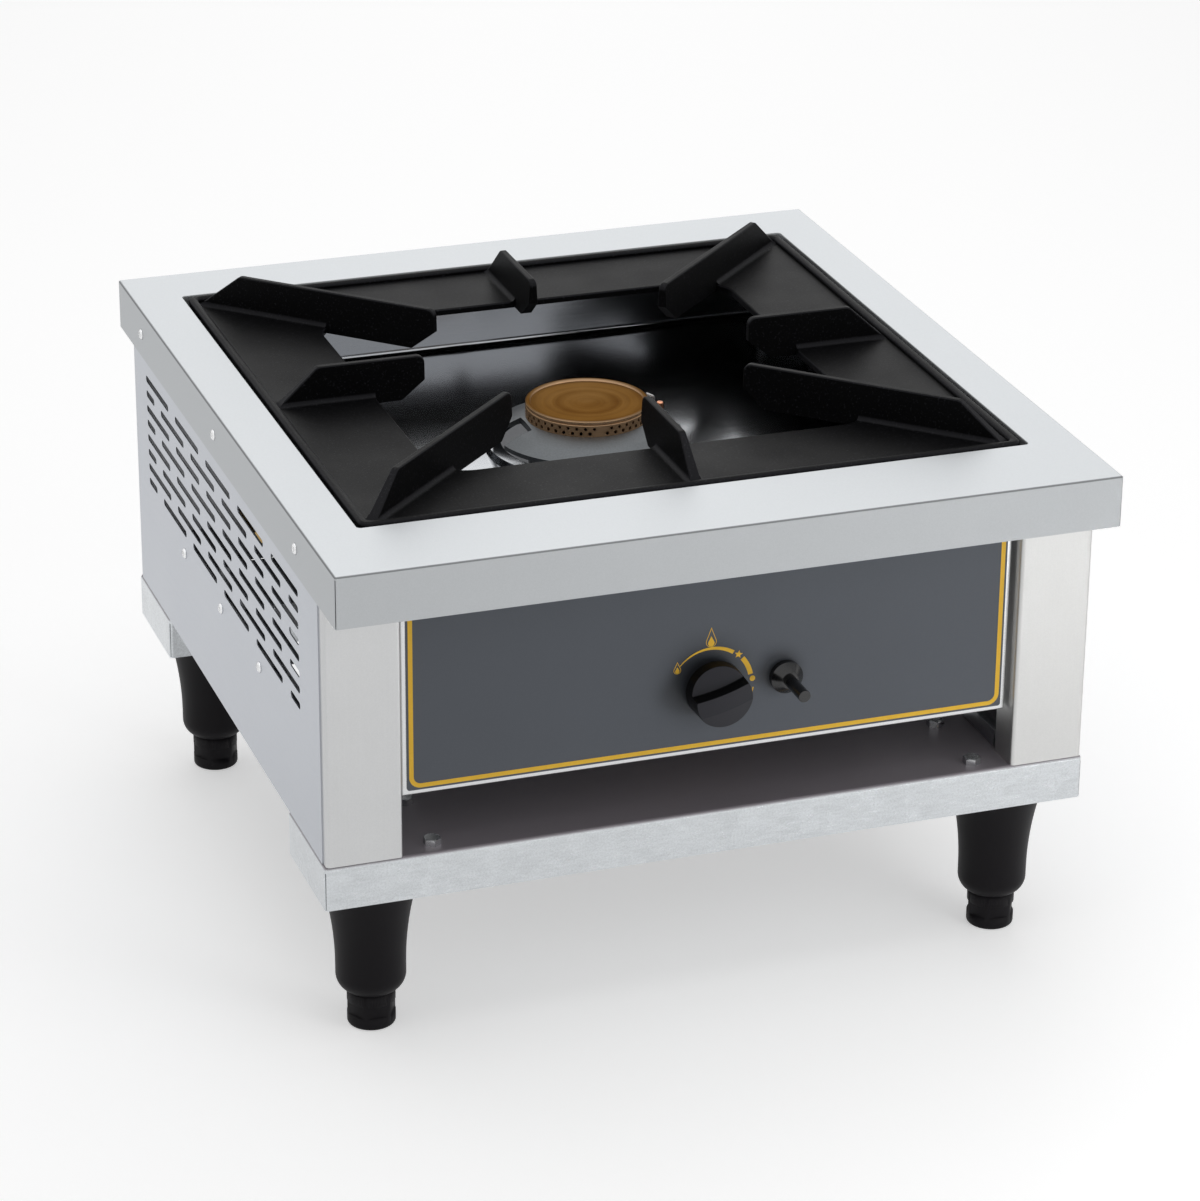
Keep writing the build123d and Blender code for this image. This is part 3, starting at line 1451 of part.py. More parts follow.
side_fin = cast_fin(rim_inner_x, fin_slope_run, web_inner_x)
end_fin = cast_fin(rim_inner_y, fin_slope_run, web_inner_y)
corner_fin = cast_fin(rim_corner - fin_corner_gap, fin_corner_slope_run, web_diagonal)
corner_angle = degrees(atan2(rim_inner_y, rim_inner_x))
with BuildPart() as pan_support:
    with BuildSketch(Plane.XY.offset(support_bottom)):
        with Locations((0, burner_y)):
            RectangleRounded(support_width, support_depth, support_corner)
            RectangleRounded(
                support_width - 2 * support_rim,
                support_depth - 2 * support_rim,
                support_corner - support_rim / 2,
                mode=Mode.SUBTRACT,
            )
    extrude(amount=support_rim_top - support_bottom)
    fillet(pan_support.faces().sort_by(Axis.Z)[-1].edges(), support_rim_round)
    with BuildSketch(Plane.XY.offset(web_bottom)):
        with Locations((0, burner_y)):
            RectangleRounded(support_width - support_rim, support_depth - support_rim, support_corner)
            RectangleRounded(2 * web_inner_x, 2 * web_inner_y, web_corner, mode=Mode.SUBTRACT)
    extrude(amount=web_thickness)
    web_edges = pan_support.edges().filter_by_position(Axis.Z, web_top, web_top)
    inner_edges = web_edges.filter_by_position(Axis.X, -web_inner_x, web_inner_x)
    fillet(inner_edges.filter_by_position(Axis.Y, burner_y - web_inner_y, burner_y + web_inner_y), web_edge)
    for angle in (0, 180):
        with Locations(Location((0, burner_y, 0), (0, 0, angle))):
            add(side_fin)
    for angle in (90, 270):
        with Locations(Location((0, burner_y, 0), (0, 0, angle))):
            add(end_fin)
    for angle in (corner_angle, 180 - corner_angle, 180 + corner_angle, -corner_angle):
        with Locations(Location((0, burner_y, 0), (0, 0, angle))):
            add(corner_fin)
save(pan_support.part, "pan_support")
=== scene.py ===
"""Looks of a single burner stove: its finishes, printed dial, threads and screw recesses, floor, light and camera."""
import json
import logging
import math
from contextlib import contextmanager
from dataclasses import dataclass, replace
from enum import Enum
from functools import cached_property, lru_cache
from typing import Any, Callable, Iterator

import bpy
from mathutils import Color, Matrix, Vector


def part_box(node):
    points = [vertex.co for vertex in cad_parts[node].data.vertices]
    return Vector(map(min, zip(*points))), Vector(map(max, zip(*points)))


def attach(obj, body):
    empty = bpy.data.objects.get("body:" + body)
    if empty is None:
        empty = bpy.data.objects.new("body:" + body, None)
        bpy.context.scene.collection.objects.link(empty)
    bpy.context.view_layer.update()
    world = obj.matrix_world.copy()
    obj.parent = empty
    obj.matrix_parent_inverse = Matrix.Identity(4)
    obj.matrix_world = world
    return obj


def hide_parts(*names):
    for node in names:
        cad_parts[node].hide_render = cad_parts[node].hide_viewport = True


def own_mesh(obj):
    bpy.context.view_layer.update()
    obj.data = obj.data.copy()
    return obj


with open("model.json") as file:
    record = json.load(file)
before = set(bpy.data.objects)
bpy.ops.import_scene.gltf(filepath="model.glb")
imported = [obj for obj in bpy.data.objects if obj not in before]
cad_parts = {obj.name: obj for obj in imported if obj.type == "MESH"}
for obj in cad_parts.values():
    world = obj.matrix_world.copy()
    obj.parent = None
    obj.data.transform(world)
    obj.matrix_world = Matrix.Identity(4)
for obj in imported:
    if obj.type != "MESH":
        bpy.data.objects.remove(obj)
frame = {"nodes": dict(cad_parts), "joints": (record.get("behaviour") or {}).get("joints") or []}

log = logging.getLogger("stove")

Colour = tuple[float, float, float]
Place = tuple[float, float, float]
Pair = tuple[float, float]

MM = 0.001
ROOT = "stove_body"
CORNERS = ("front_left", "front_right", "rear_left", "rear_right")
WHITE = (1.0, 1.0, 1.0)
FLOOR_PLANE = (1.0, 1.0, 0.0)
FRONT_PLANE = (1.0, 0.0, 1.0)
PATTERN_MIDDLE = 0.5
SMOOTH_ANGLE = 35.0
TINY = 1e-6
SCREEN_FULL = 255


def screen(*levels: int) -> Colour:
    """Turns red, green and blue as a screen shows them, from 0 to 255, into a shader's linear colour."""
    return tuple(Color([level / SCREEN_FULL for level in levels]).from_srgb_to_scene_linear())


def turned(angle: float, axis: str) -> Matrix:
    """Makes a turn about an axis through the origin, by an angle in degrees."""
    return Matrix.Rotation(math.radians(angle), 4, axis)


class Grain(Enum):
    """The axis that a sheet was brushed or rolled along."""

    ACROSS = 0
    DEEP = 1
    UPRIGHT = 2

    def stretch(self, along: float, across: float) -> Place:
        """Scales a pattern so that it is drawn out along the grain."""
        return tuple(along if axis == self.value else across for axis in range(3))


class Element(Enum):
    """The kinds of mesh element that can be picked."""

    VERTEX = "VERT"
    FACE = "FACE"


class Reading:
    """A shader value, whose arithmetic adds Math nodes."""

    def __init__(self, shade: "Shade", socket: bpy.types.NodeSocket) -> None:
        """Keeps the nodes that the value belongs to, and its socket."""
        self.shade = shade
        self.socket = socket

    def _math(self, operation: str, first: Any, second: Any) -> "Reading":
        """Adds one Math node."""
        return self.shade.node("ShaderNodeMath", {"operation": operation}, {0: first, 1: second})

    def __add__(self, other: Any) -> "Reading":
        """Adds a value or a number."""
        return self._math("ADD", self, other)

    def __radd__(self, other: Any) -> "Reading":
        """Adds this value to a number."""
        return self._math("ADD", other, self)

    def __sub__(self, other: Any) -> "Reading":
        """Takes a value or a number away."""
        return self._math("SUBTRACT", self, other)

    def __rsub__(self, other: Any) -> "Reading":
        """Takes this value away from a number."""
        return self._math("SUBTRACT", other, self)

    def __mul__(self, other: Any) -> "Reading":
        """Multiplies by a value or a number."""
        return self._math("MULTIPLY", self, other)

    def __rmul__(self, other: Any) -> "Reading":
        """Multiplies a number by this value."""
        return self._math("MULTIPLY", other, self)

    def sway(self, amount: float) -> "Reading":
        """Turns a pattern into one that swings about zero, over an amount."""
        return amount * (self - PATTERN_MIDDLE)


class Shade:
    """Builds the nodes of one material or of the world."""

    slant_start = (0.10, 0.35)
    slant_end = (0.97, 0.80)
    inner_turn = (0.0, -0.12)
    seeing_rays = ("Is Camera Ray", "Is Glossy Ray", "Is Transmission Ray")

    def __init__(self, owner: bpy.types.Material | bpy.types.World, shader: str = "Principled BSDF") -> None:
        """Starts from the shader that a new material or world comes with.

        Args:
            owner: The material or the world.
            shader: The shader's name.
        """
        owner.use_nodes = True
        self.tree = owner.node_tree
        self.shader = self.tree.nodes[shader]

    @cached_property
    def place(self) -> Reading:
        """Reads the place on the object."""
        return self.node("ShaderNodeTexCoord", output="Object")

    def feed(self, socket: bpy.types.NodeSocket, value: Any) -> None:
        """Links a value to a socket, or sets a number or a colour on it.

        Args:
            socket: The socket to feed.
            value: A Reading, a number, a vector or a colour.
        """
        if isinstance(value, Reading):
            self.tree.links.new(value.socket, socket)
        elif socket.type == "RGBA":
            socket.default_value = (*value, 1.0)
        else:
            socket.default_value = value

    def node(self, kind: str, settings: dict | None = None, inputs: dict | None = None, output: Any = 0) -> Reading:
        """Adds one node.

        Args:
            kind: The node's type.
            settings: Its own settings.
            inputs: Values or links for its sockets.
            output: The name or the number of the socket to read.

        Returns:
            The value that the node gives.
        """
        made = self.tree.nodes.new(kind)
        for key, value in (settings or {}).items():
            setattr(made, key, value)
        for key, value in (inputs or {}).items():
            self.feed(made.inputs[key], value)
        return Reading(self, made.outputs[output])

    def vector(self, operation: str, first: Any, second: Any, output: Any = 0) -> Reading:
        """Adds one Vector Math node."""
        return self.node("ShaderNodeVectorMath", {"operation": operation}, {0: first, 1: second}, output)

    def noise(
        self, scale: float, detail: float = 2.0, stretch: Place = (1, 1, 1), at: Reading | None = None
    ) -> Reading:
        """Adds a noise pattern.

        Args:
            scale: Features per metre.
            detail: How many finer layers it has.
            stretch: How the place is scaled first.
            at: The place to read, or the object's own.

        Returns:
            A value about one half.
        """
        spot = self.node("ShaderNodeMapping", None, {"Vector": at or self.place, "Scale": stretch})
        return self.node("ShaderNodeTexNoise", None, {"Vector": spot, "Scale": scale, "Detail": detail})

    def strokes(self, grain: Grain, scale: Pair, detail: float) -> Reading:
        """Adds a noise pattern drawn out along a grain, with its features per metre along and across it."""
        return self.noise(1.0, detail, grain.stretch(*scale))

    def tint(self, colour: Colour, tone: Reading) -> Reading:
        """Makes a colour lighter or darker by a value."""
        return self.node("ShaderNodeVectorMath", {"operation": "SCALE"}, {0: colour, "Scale": tone})

    def mix(self, share: Any, first: Any, second: Any) -> Reading:
        """Mixes two colours by a share."""
        return self.node("ShaderNodeMix", {"data_type": "RGBA"}, {0: share, 6: first, 7: second}, 2)

    def steps(self, value: Reading, low: float, high: float) -> Reading:
        """Spreads the part of a value between two limits over zero to one."""
        return self.node("ShaderNodeMapRange", None, {"Value": value, "From Min": low, "From Max": high})

    def part(self, vector: Reading, axis: str) -> Reading:
        """Reads one axis of a vector."""
        return self.node("ShaderNodeSeparateXYZ", None, {0: vector}, axis)

    def normal(self) -> Reading:
        """Reads which way the surface looks."""
        return self.node("ShaderNodeNewGeometry", output="Normal")

    def facing(self, axis: str) -> Reading:
        """Reads how far the surface looks along an axis."""
        return self.part(self.normal(), axis)

    def slanting(self) -> Reading:
        """Reads whether the surface slants upwards, as on bends, rounded edges and roots."""
        upward = self.facing("Z")
        return self.steps(upward, *self.slant_start) * self.steps(upward, *self.slant_end)

    def inner(self) -> Reading:
        """Reads whether the surface looks towards the stove's upright middle line."""
        outward = self.vector("DOT_PRODUCT", self.vector("MULTIPLY", self.place, FLOOR_PLANE), self.normal(), "Value")
        return self.steps(outward, *self.inner_turn)

    def distance(self, plane: Place, middle: Place) -> Reading:
        """Reads how far a place, laid flat in a plane, is from a middle."""
        return self.vector("DISTANCE", self.vector("MULTIPLY", self.place, plane), middle, "Value")

    def seen(self) -> Reading:
        """Reads whether a ray sees the background: from the camera, off gloss or through glass."""
        camera, gloss, glass = (self.node("ShaderNodeLightPath", output=ray) for ray in self.seeing_rays)
        return self.node("ShaderNodeMath", {"operation": "ADD", "use_clamp": True}, {0: camera + gloss, 1: glass})

    def surface(self, **inputs: Any) -> None:
        """Feeds the shader's sockets, named with underscores for spaces."""
        for key, value in inputs.items():
            self.feed(self.shader.inputs[key.replace("_", " ")], value)

    def relief(self, height: Reading, strength: float, distance: float) -> None:
        """Gives the surface a fine relief.

        Args:
            height: The pattern's height from 0 to 1.
            strength: How much of it shows.
            distance: Its depth in metres.
        """
        bump = self.node("ShaderNodeBump", None, {"Strength": strength, "Distance": distance, "Height": height})
        self.feed(self.shader.inputs["Normal"], bump)


@dataclass(frozen=True)
class Finish:
    """What all finishes share: a name, a colour and a roughness."""

    name: str
    colour: Colour
    roughness: float

    def paint(self, shade: Shade) -> None:
        """Adds the finish's own nodes to a material."""
        raise NotImplementedError


@dataclass(frozen=True)
class Brushed(Finish):
    """Rolled or brushed sheet metal with fine lines along its grain and faint handling marks."""

    grain: Grain = Grain.ACROSS
    streak: float = 0.10
    mottle: float = 0.08
    depth: float = 0.04 * MM
    bend_shade: float = 0.0
    inside: float = 0.0
    flank_shade: float = 0.0
    front_shading: float = 0.0
    speckle: float = 0.10
    unevenness: float = 0.10
    line_scale: Pair = (9.0, 700.0)
    hair_scale: Pair = (40.0, 2600.0)
    speck_scale: float = 900.0
    cloud_scale: float = 9.0
    hair_strength: float = 0.12

    def paint(self, shade: Shade) -> None:
        """Draws the lines out along the grain, clouds the sheen, and paints shade on bends, inner sides, flanks and
        forward faces.

        Args:
            shade: Its material.
        """
        lines = shade.strokes(self.grain, self.line_scale, 3.0)
        hairs = shade.strokes(self.grain, self.hair_scale, 2.0)
        specks = shade.noise(self.speck_scale)
        cloud = shade.noise(self.cloud_scale, 4.0)
        tone = 1.0 + lines.sway(self.streak) + cloud.sway(self.mottle) + specks.sway(self.speckle)
        # Painted shade: bends are darkened, standing in for the dark reflection along them.
        if self.bend_shade:
            tone = tone - self.bend_shade * shade.slanting()
        # Painted shade: faces turned in towards the stove's middle are darkened, as the shade inside the body.
        if self.inside:
            tone = tone - self.inside * shade.inner()
        # Painted shade: faces looking sideways and forwards are darkened by how far they face that way.
        for amount, axis in ((self.flank_shade, "X"), (self.front_shading, "Y")):
            if amount:
                facing = shade.facing(axis)
                tone = tone - amount * (facing * facing)
        shade.surface(
            Base_Color=shade.tint(self.colour, tone),
            Roughness=self.roughness + lines.sway(self.unevenness) + cloud.sway(self.unevenness),
            Metallic=1.0,
        )
        shade.relief(hairs, self.hair_strength, self.depth)


@dataclass(frozen=True)
class Galvanised(Finish):
    """Zinc coated sheet: a faint spangle, drawn marks along the rail and cloudy patches."""

    grain: Grain = Grain.ACROSS
    level_shade: Colour | None = None
    level_shade_range: Pair = (0.25, 0.75)
    level_shade_roughness: float = 0.16
    level_shade_cover: float = 0.85
    spangle_tone: float = 0.06
    mark_tone: float = 0.26
    grit_tone: float = 0.34
    cloud_tone: float = 0.18
    mark_roughness: float = 0.10
    patch_roughness: float = 0.05
    spangle_scale: float = 95.0
    mark_scale: Pair = (60.0, 320.0)
    grit_scale: float = 650.0
    cloud_scale: float = 14.0
    patch_scale: float = 60.0
    mark_strength: float = 0.10
    depth: float = 0.05 * MM

    def paint(self, shade: Shade) -> None:
        """Lays spangle, drawn marks and clouds over each other, and paints shade on what lies level as a dark,
        rougher, less metallic coat.

        Args:
            shade: Its material.
        """
        patches = shade.noise(self.patch_scale)
        cells = {"Vector": shade.place, "Scale": self.spangle_scale}
        crystals = shade.node("ShaderNodeTexVoronoi", None, cells, "Color")
        spangle = shade.node("ShaderNodeSeparateColor", None, {0: crystals})
        marks = shade.strokes(self.grain, self.mark_scale, 4.0)
        grit = shade.noise(self.grit_scale)
        cloud = shade.noise(self.cloud_scale, 4.0)
        tone = 1.0 + spangle.sway(self.spangle_tone) + marks.sway(self.mark_tone)
        tone = tone + grit.sway(self.grit_tone) + cloud.sway(self.cloud_tone)
        colour = shade.tint(self.colour, tone)
        roughness = self.roughness + marks.sway(self.mark_roughness) + patches.sway(self.patch_roughness)
        metallic = 1.0
        # Painted shade: level faces take a dark non-metal coat, standing in for the dark reflection of the body's
        # underside.
        if self.level_shade:
            level = shade.steps(shade.facing("Z"), *self.level_shade_range)
            colour = shade.mix(level, colour, self.level_shade)
            roughness = roughness + self.level_shade_roughness * level
            metallic = 1.0 - self.level_shade_cover * level
        shade.surface(Base_Color=colour, Roughness=roughness, Metallic=metallic)
        shade.relief(marks, self.mark_strength, self.depth)


@dataclass(frozen=True)
class CastSkin(Finish):
    """The skin of a sand casting under a thin coat."""

    metallic: float = 0.0
    grain_size: float = 1.1 * MM
    depth: float = 0.25 * MM
    sheen: float = 0.5
    dust: float = 0.0
    edge_highlight: float = 0.0
    dust_range: Pair = (0.60, 0.80)
    dust_share: float = 0.6
    patch_scale: float = 22.0
    tone_range: float = 0.5
    patch_roughness: float = 0.16
    sand_roughness: float = 0.10
    sand_strength: float = 0.35

    def paint(self, shade: Shade) -> None:
        """Roughens the coat with the sand's grain, pales it with specks and paints a highlight on slanting faces.

        Args:
            shade: Its material.
        """
        sand = shade.noise(1 / self.grain_size, 4.0)
        patches = shade.noise(self.patch_scale, 3.0)
        tone = 1.0 + sand.sway(self.tone_range) + patches.sway(self.tone_range)
        if self.dust:
            specks = shade.noise(self.dust_share / self.grain_size, 1.0)
            tone = tone + self.dust * shade.steps(specks, *self.dust_range)
        # Painted highlight: slanting faces, such as rounded edges, sloped ends and roots, are made paler.
        if self.edge_highlight:
            tone = tone + self.edge_highlight * shade.slanting()
        shade.surface(
            Base_Color=shade.tint(self.colour, tone),
            Roughness=self.roughness + patches.sway(self.patch_roughness) + sand.sway(self.sand_roughness),
            Metallic=self.metallic,
            Specular_IOR_Level=self.sheen,
        )
        shade.relief(sand, self.sand_strength, self.depth)


@dataclass(frozen=True)
class Moulded(Finish):
    """Moulded plastic or rubber with the fine texture of its mould."""

    grain_size: float = 0.6 * MM
    relief: float = 0.10
    sheen: float = 0.5
    front_shading: float = 0.0
    front_shading_range: Pair = (-0.45, -0.85)
    texture_tone: float = 0.3
    handled_tone: float = 0.25
    handled_roughness: float = 0.12
    handled_scale: float = 40.0
    depth: float = 0.15 * MM

    def paint(self, shade: Shade) -> None:
        """Adds the mould's texture, a little unevenness in the sheen and a painted highlight on forward faces.

        Args:
            shade: Its material.
        """
        texture = shade.noise(1 / self.grain_size, 3.0)
        handled = shade.noise(self.handled_scale, 3.0)
        tone = 1.0 + texture.sway(self.texture_tone) + handled.sway(self.handled_tone)
        # Painted highlight: faces looking forwards are made paler, as the sheen on the knob's face.
        if self.front_shading:
            tone = tone + self.front_shading * shade.steps(shade.facing("Y"), *self.front_shading_range)
        shade.surface(
            Base_Color=shade.tint(self.colour, tone),
            Roughness=self.roughness + handled.sway(self.handled_roughness),
            Specular_IOR_Level=self.sheen,
        )
        shade.relief(texture, self.relief, self.depth)


@dataclass(frozen=True)
class Coated(Finish):
    """A sprayed or printed coat on sheet, with a slight orange peel."""

    sheen: float
    shadow_rings: tuple[tuple[float, float, float], ...] = ()
    shadow_strength: float = 0.55
    shadow_core: float = 0.45
    peel_tone: float = 0.10
    cloud_tone: float = 0.12
    cloud_roughness: float = 0.08
    peel_scale: float = 700.0
    cloud_scale: float = 11.0
    peel_strength: float = 0.05
    depth: float = 0.08 * MM

    def paint(self, shade: Shade) -> None:
        """Adds the peel, a soft unevenness and rings of painted shadow, each an X, a Z and a radius.

        Args:
            shade: Its material.
        """
        peel = shade.noise(self.peel_scale)
        cloud = shade.noise(self.cloud_scale, 3.0)
        tone = 1.0 + peel.sway(self.peel_tone) + cloud.sway(self.cloud_tone)
        # Painted shadow: the faceplate darkens round knob and igniter, where they would cast it.
        for x, z, radius in self.shadow_rings:
            shadowed = shade.steps(shade.distance(FRONT_PLANE, (x, 0.0, z)), radius, self.shadow_core * radius)
            tone = tone * (1.0 - self.shadow_strength * (shadowed * shadowed))
        shade.surface(
            Base_Color=shade.tint(self.colour, tone),
            Roughness=self.roughness + cloud.sway(self.cloud_roughness),
            Specular_IOR_Level=self.sheen,
        )
        shade.relief(peel, self.peel_strength, self.depth)


@dataclass(frozen=True)
class Turned(Finish):
    """Metal turned on a lathe round an upright axis, browned by heat, with painted shade on its level faces."""

    axis: Place
    tarnish_and_shade: Colour
    rim: Colour = (0.46, 0.34, 0.22)
    level_range: Pair = (0.35, 0.90)
    level_brown_and_shade: float = 0.80
    band_brown: float = 0.14
    band_range: Pair = (0.62, 1.05)
    stain_share: float = 0.6
    ring_tone: float = 0.45
    brown_roughness: float = 0.14
    ring_roughness: float = 0.10
    upright_metal: float = 0.55
    ring_scale: float = 700.0
    band_scale: float = 90.0
    stain_scale: float = 28.0
    ring_strength: float = 0.15
    depth: float = 0.08 * MM

    def paint(self, shade: Shade) -> None:
        """Draws the tool's rings round the axis, lays heat stains over them and browns the level faces, partly as
        heat tint and partly as painted shade.

        Args:
            shade: Its material.
        """
        radius = shade.distance(FLOOR_PLANE, self.axis)
        height = shade.part(shade.place, "Z")
        along = shade.node("ShaderNodeCombineXYZ", None, {0: radius + height, 1: radius - height})
        rings = shade.noise(self.ring_scale, 3.0, at=along)
        bands = shade.noise(self.band_scale, at=along)
        stain = shade.noise(self.stain_scale, 4.0)
        # Painted shade and heat tint: level faces, such as the cap's top, are browned and darkened.
        level = shade.steps(shade.facing("Z"), *self.level_range)
        banded = shade.steps(bands + self.stain_share * stain, *self.band_range)
        brown_and_shade = self.band_brown * banded + self.level_brown_and_shade * level
        metal = shade.tint(self.colour, 1.0 + rings.sway(self.ring_tone))
        shade.surface(
            Base_Color=shade.mix(brown_and_shade, metal, self.tarnish_and_shade),
            Roughness=self.roughness + self.brown_roughness * brown_and_shade + rings.sway(self.ring_roughness),
            Metallic=self.upright_metal + (1.0 - self.upright_metal) * level,
            Specular_Tint=self.rim,
        )
        shade.relief(rings, self.ring_strength, self.depth)


@dataclass(frozen=True)
class Drawn(Finish):
    """Plated, drawn or machined metal with cloudy handling marks."""

    metallic: float = 1.0
    cloud_tone: float = 0.3
    scratch_tone: float = 0.1
    cloud_roughness: float = 0.2
    cloud_scale: float = 120.0
    scratch_scale: float = 900.0
    scratch_strength: float = 0.08
    depth: float = 0.05 * MM

    def paint(self, shade: Shade) -> None:
        """Clouds the colour and the sheen and adds short scratches.

        Args:
            shade: Its material.
        """
        cloud = shade.noise(self.cloud_scale, 4.0)
        scratches = shade.noise(self.scratch_scale)
        tone = 1.0 + cloud.sway(self.cloud_tone) + scratches.sway(self.scratch_tone)
        shade.surface(
            Base_Color=shade.tint(self.colour, tone),
            Roughness=self.roughness + cloud.sway(self.cloud_roughness),
            Metallic=self.metallic,
        )
        shade.relief(scratches, self.scratch_strength, self.depth)


@lru_cache(maxsize=None)
def material_of(finish: Finish) -> bpy.types.Material:
    """Makes a finish's material the first time it is asked for.

    Args:
        finish: The finish.

    Returns:
        Its material.
    """
    material = bpy.data.materials.new(finish.name)
    finish.paint(Shade(material))
    return material


def dress(finish: Finish, *names: str) -> None:
    """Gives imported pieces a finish.

    Args:
        finish: The finish.
        names: The names of the pieces.
    """
    for name in names:
        piece = frame["nodes"][name]
        if not piece.material_slots:
            piece.data.materials.append(None)
        for slot in piece.material_slots:
            slot.material = material_of(finish)
        log.info("%s has the finish %s", name, finish.name)


class Blank:
    """A piece in the making: a primitive that is shaped in edit mode and finished with modifiers."""

    def __init__(self, name: str, add: Callable[..., Any], **sizes: Any) -> None:
        """Adds a primitive, alone in the selection.

        Args:
            name: The piece's name.
            add: The operator that adds the primitive.
            sizes: What the operator is given.
        """
        bpy.ops.object.select_all(action="DESELECT")
        add(**sizes)
        self.item = bpy.context.active_object
        self.item.name = name
        self.item.data.name = name

    @classmethod
    def of(cls, item: bpy.types.Object) -> "Blank":
        """Takes on an object that is already there.

        Args:
            item: The object.

        Returns:
            The object as a piece in the making.
        """
        blank = cls.__new__(cls)
        blank.item = item
        return blank

    @classmethod
    def copy_of(cls, node: str, name: str) -> "Blank":
        """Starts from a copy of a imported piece, with its loose triangles merged.

        Args:
            node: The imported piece.
            name: The copy's name.

        Returns:
            The copy as a piece in the making.
        """
        blank = cls.of(bpy.data.objects.new(name, frame["nodes"][node].data.copy()))
        blank.item.data.name = name
        bpy.context.collection.objects.link(blank.item)
        with blank.edit():
            bpy.ops.mesh.remove_doubles(threshold=TINY)
        return blank

    def alone(self) -> None:
        """Selects only this piece and makes it active."""
        bpy.ops.object.select_all(action="DESELECT")
        self.item.select_set(True)
        bpy.context.view_layer.objects.active = self.item

    @contextmanager
    def edit(self) -> Iterator[None]:
        """Works in edit mode with all of the piece selected."""
        self.alone()
        bpy.ops.object.mode_set(mode="EDIT")
        bpy.ops.mesh.select_all(action="SELECT")
        yield
        bpy.ops.object.mode_set(mode="OBJECT")

    def pick(self, kind: Element, test: Callable[[Vector], bool]) -> None:
        """Selects, in edit mode, only the elements of one kind whose middle passes a test.

        Args:
            kind: The kind of element.
            test: Says whether an element at a place is wanted.
        """
        bpy.ops.mesh.select_mode(type=kind.value)
        bpy.ops.mesh.select_all(action="DESELECT")
        bpy.ops.object.mode_set(mode="OBJECT")
        mesh = self.item.data
        if kind is Element.VERTEX:
            found = [(vertex, vertex.co) for vertex in mesh.vertices]
        else:
            found = [(face, face.center) for face in mesh.polygons]
        for element, place in found:
            element.select = test(place)
        bpy.ops.object.mode_set(mode="EDIT")

    def drop_faces(self, test: Callable[[Vector], bool]) -> None:
        """Deletes, in edit mode, the faces whose middle passes a test.

        Args:
            test: Says whether a face at a place goes.
        """
        self.pick(Element.FACE, test)
        bpy.ops.mesh.delete(type="FACE")

    def thicken(self, amount: float) -> None:
        """Extrudes, in edit mode, the whole flat piece upwards.

        Args:
            amount: Its thickness.
        """
        bpy.ops.mesh.extrude_region_move(TRANSFORM_OT_translate={"value": (0.0, 0.0, amount)})
        bpy.ops.mesh.select_all(action="SELECT")
        bpy.ops.mesh.normals_make_consistent(inside=False)

    def move(self, matrix: Matrix) -> None:
        """Turns and moves the finished piece, with its place in its mesh.

        Args:
            matrix: The turn and the move.
        """
        self.alone()
        self.item.matrix_world = matrix
        bpy.ops.object.transform_apply(location=True, rotation=True, scale=True)

    def apply(self, kind: str, **settings: Any) -> None:
        """Adds one modifier and applies it.

        Args:
            kind: The modifier's type.
            settings: Its settings.
        """
        self.alone()
        modifier = self.item.modifiers.new(kind.title(), kind)
        for key, value in settings.items():
            setattr(modifier, key, value)
        bpy.ops.object.modifier_apply(modifier=modifier.name)

    def cut(self, cutter: "Blank") -> None:
        """Cuts another piece out of this one and does away with it."""
        self.apply("BOOLEAN", object=cutter.item, operation="DIFFERENCE", solver="EXACT")
        bpy.data.objects.remove(cutter.item, do_unlink=True)

    def finish(self, finish: Finish, body: str, slot: str, *replaced: str) -> None:
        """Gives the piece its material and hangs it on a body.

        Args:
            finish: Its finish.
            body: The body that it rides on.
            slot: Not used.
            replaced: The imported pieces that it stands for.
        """
        self.alone()
        bpy.ops.object.shade_smooth_by_angle(angle=math.radians(SMOOTH_ANGLE))
        self.item.data.materials.clear()
        self.item.data.materials.append(material_of(finish))
        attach(self.item, body)
        if replaced:
            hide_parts(*replaced)
        log.info("%s rides on %s in %s", self.item.name, body, finish.name)


# Stainless and plain sheet
# The top's bends, flanks and forward faces carry painted shade.
STAINLESS_TOP = Brushed(
    "satin_stainless_top", (0.520, 0.537, 0.551), 0.52,
    streak=0.05, mottle=0.05, bend_shade=0.55, flank_shade=0.07, front_shading=0.09,
)
# The side panels' inner faces carry painted shade.
STAINLESS_SIDE = Brushed(
    "satin_stainless_side", (0.490, 0.510, 0.548), 0.36, Grain.DEEP, streak=0.06, mottle=0.06, inside=0.72
)
STAINLESS_POST = Brushed(
    "brushed_stainless_post", (0.585, 0.590, 0.593), 0.38, Grain.UPRIGHT, streak=0.05, mottle=0.16
)
# Painted light: the right post takes a paler copy of the post finish, as if lit more from the right.
STAINLESS_POST_LIT = replace(STAINLESS_POST, name="lit_stainless_post", colour=(0.595, 0.595, 0.588))
# The rear panel's inner faces carry painted shade.
STAINLESS_BACK = Brushed(
    "brushed_stainless_back", (0.520, 0.530, 0.550), 0.36, Grain.UPRIGHT, streak=0.07, inside=0.50
)
STAINLESS_BRIGHT = Brushed(
    "bright_stainless", (0.640, 0.645, 0.650), 0.17, streak=0.05, mottle=0.05, depth=0.02 * MM
)
STAINLESS_TRAY = Brushed("polished_tray", (0.400, 0.412, 0.432), 0.15, streak=0.04, mottle=0.04, depth=0.02 * MM)
# Painted shade: the steel inside the body, under the pan support, is made darker than bare steel.
SHADED_FOLDED_STEEL = Brushed("shaded_folded_steel", (0.220, 0.223, 0.228), 0.42, mottle=0.14)

# Zinc, brass and other bare or plated metal
# The rails' level faces carry painted shade.
ZINC_SHEET = Galvanised("zinc_sheet", (0.595, 0.618, 0.636), 0.26, level_shade=(0.275, 0.250, 0.275))
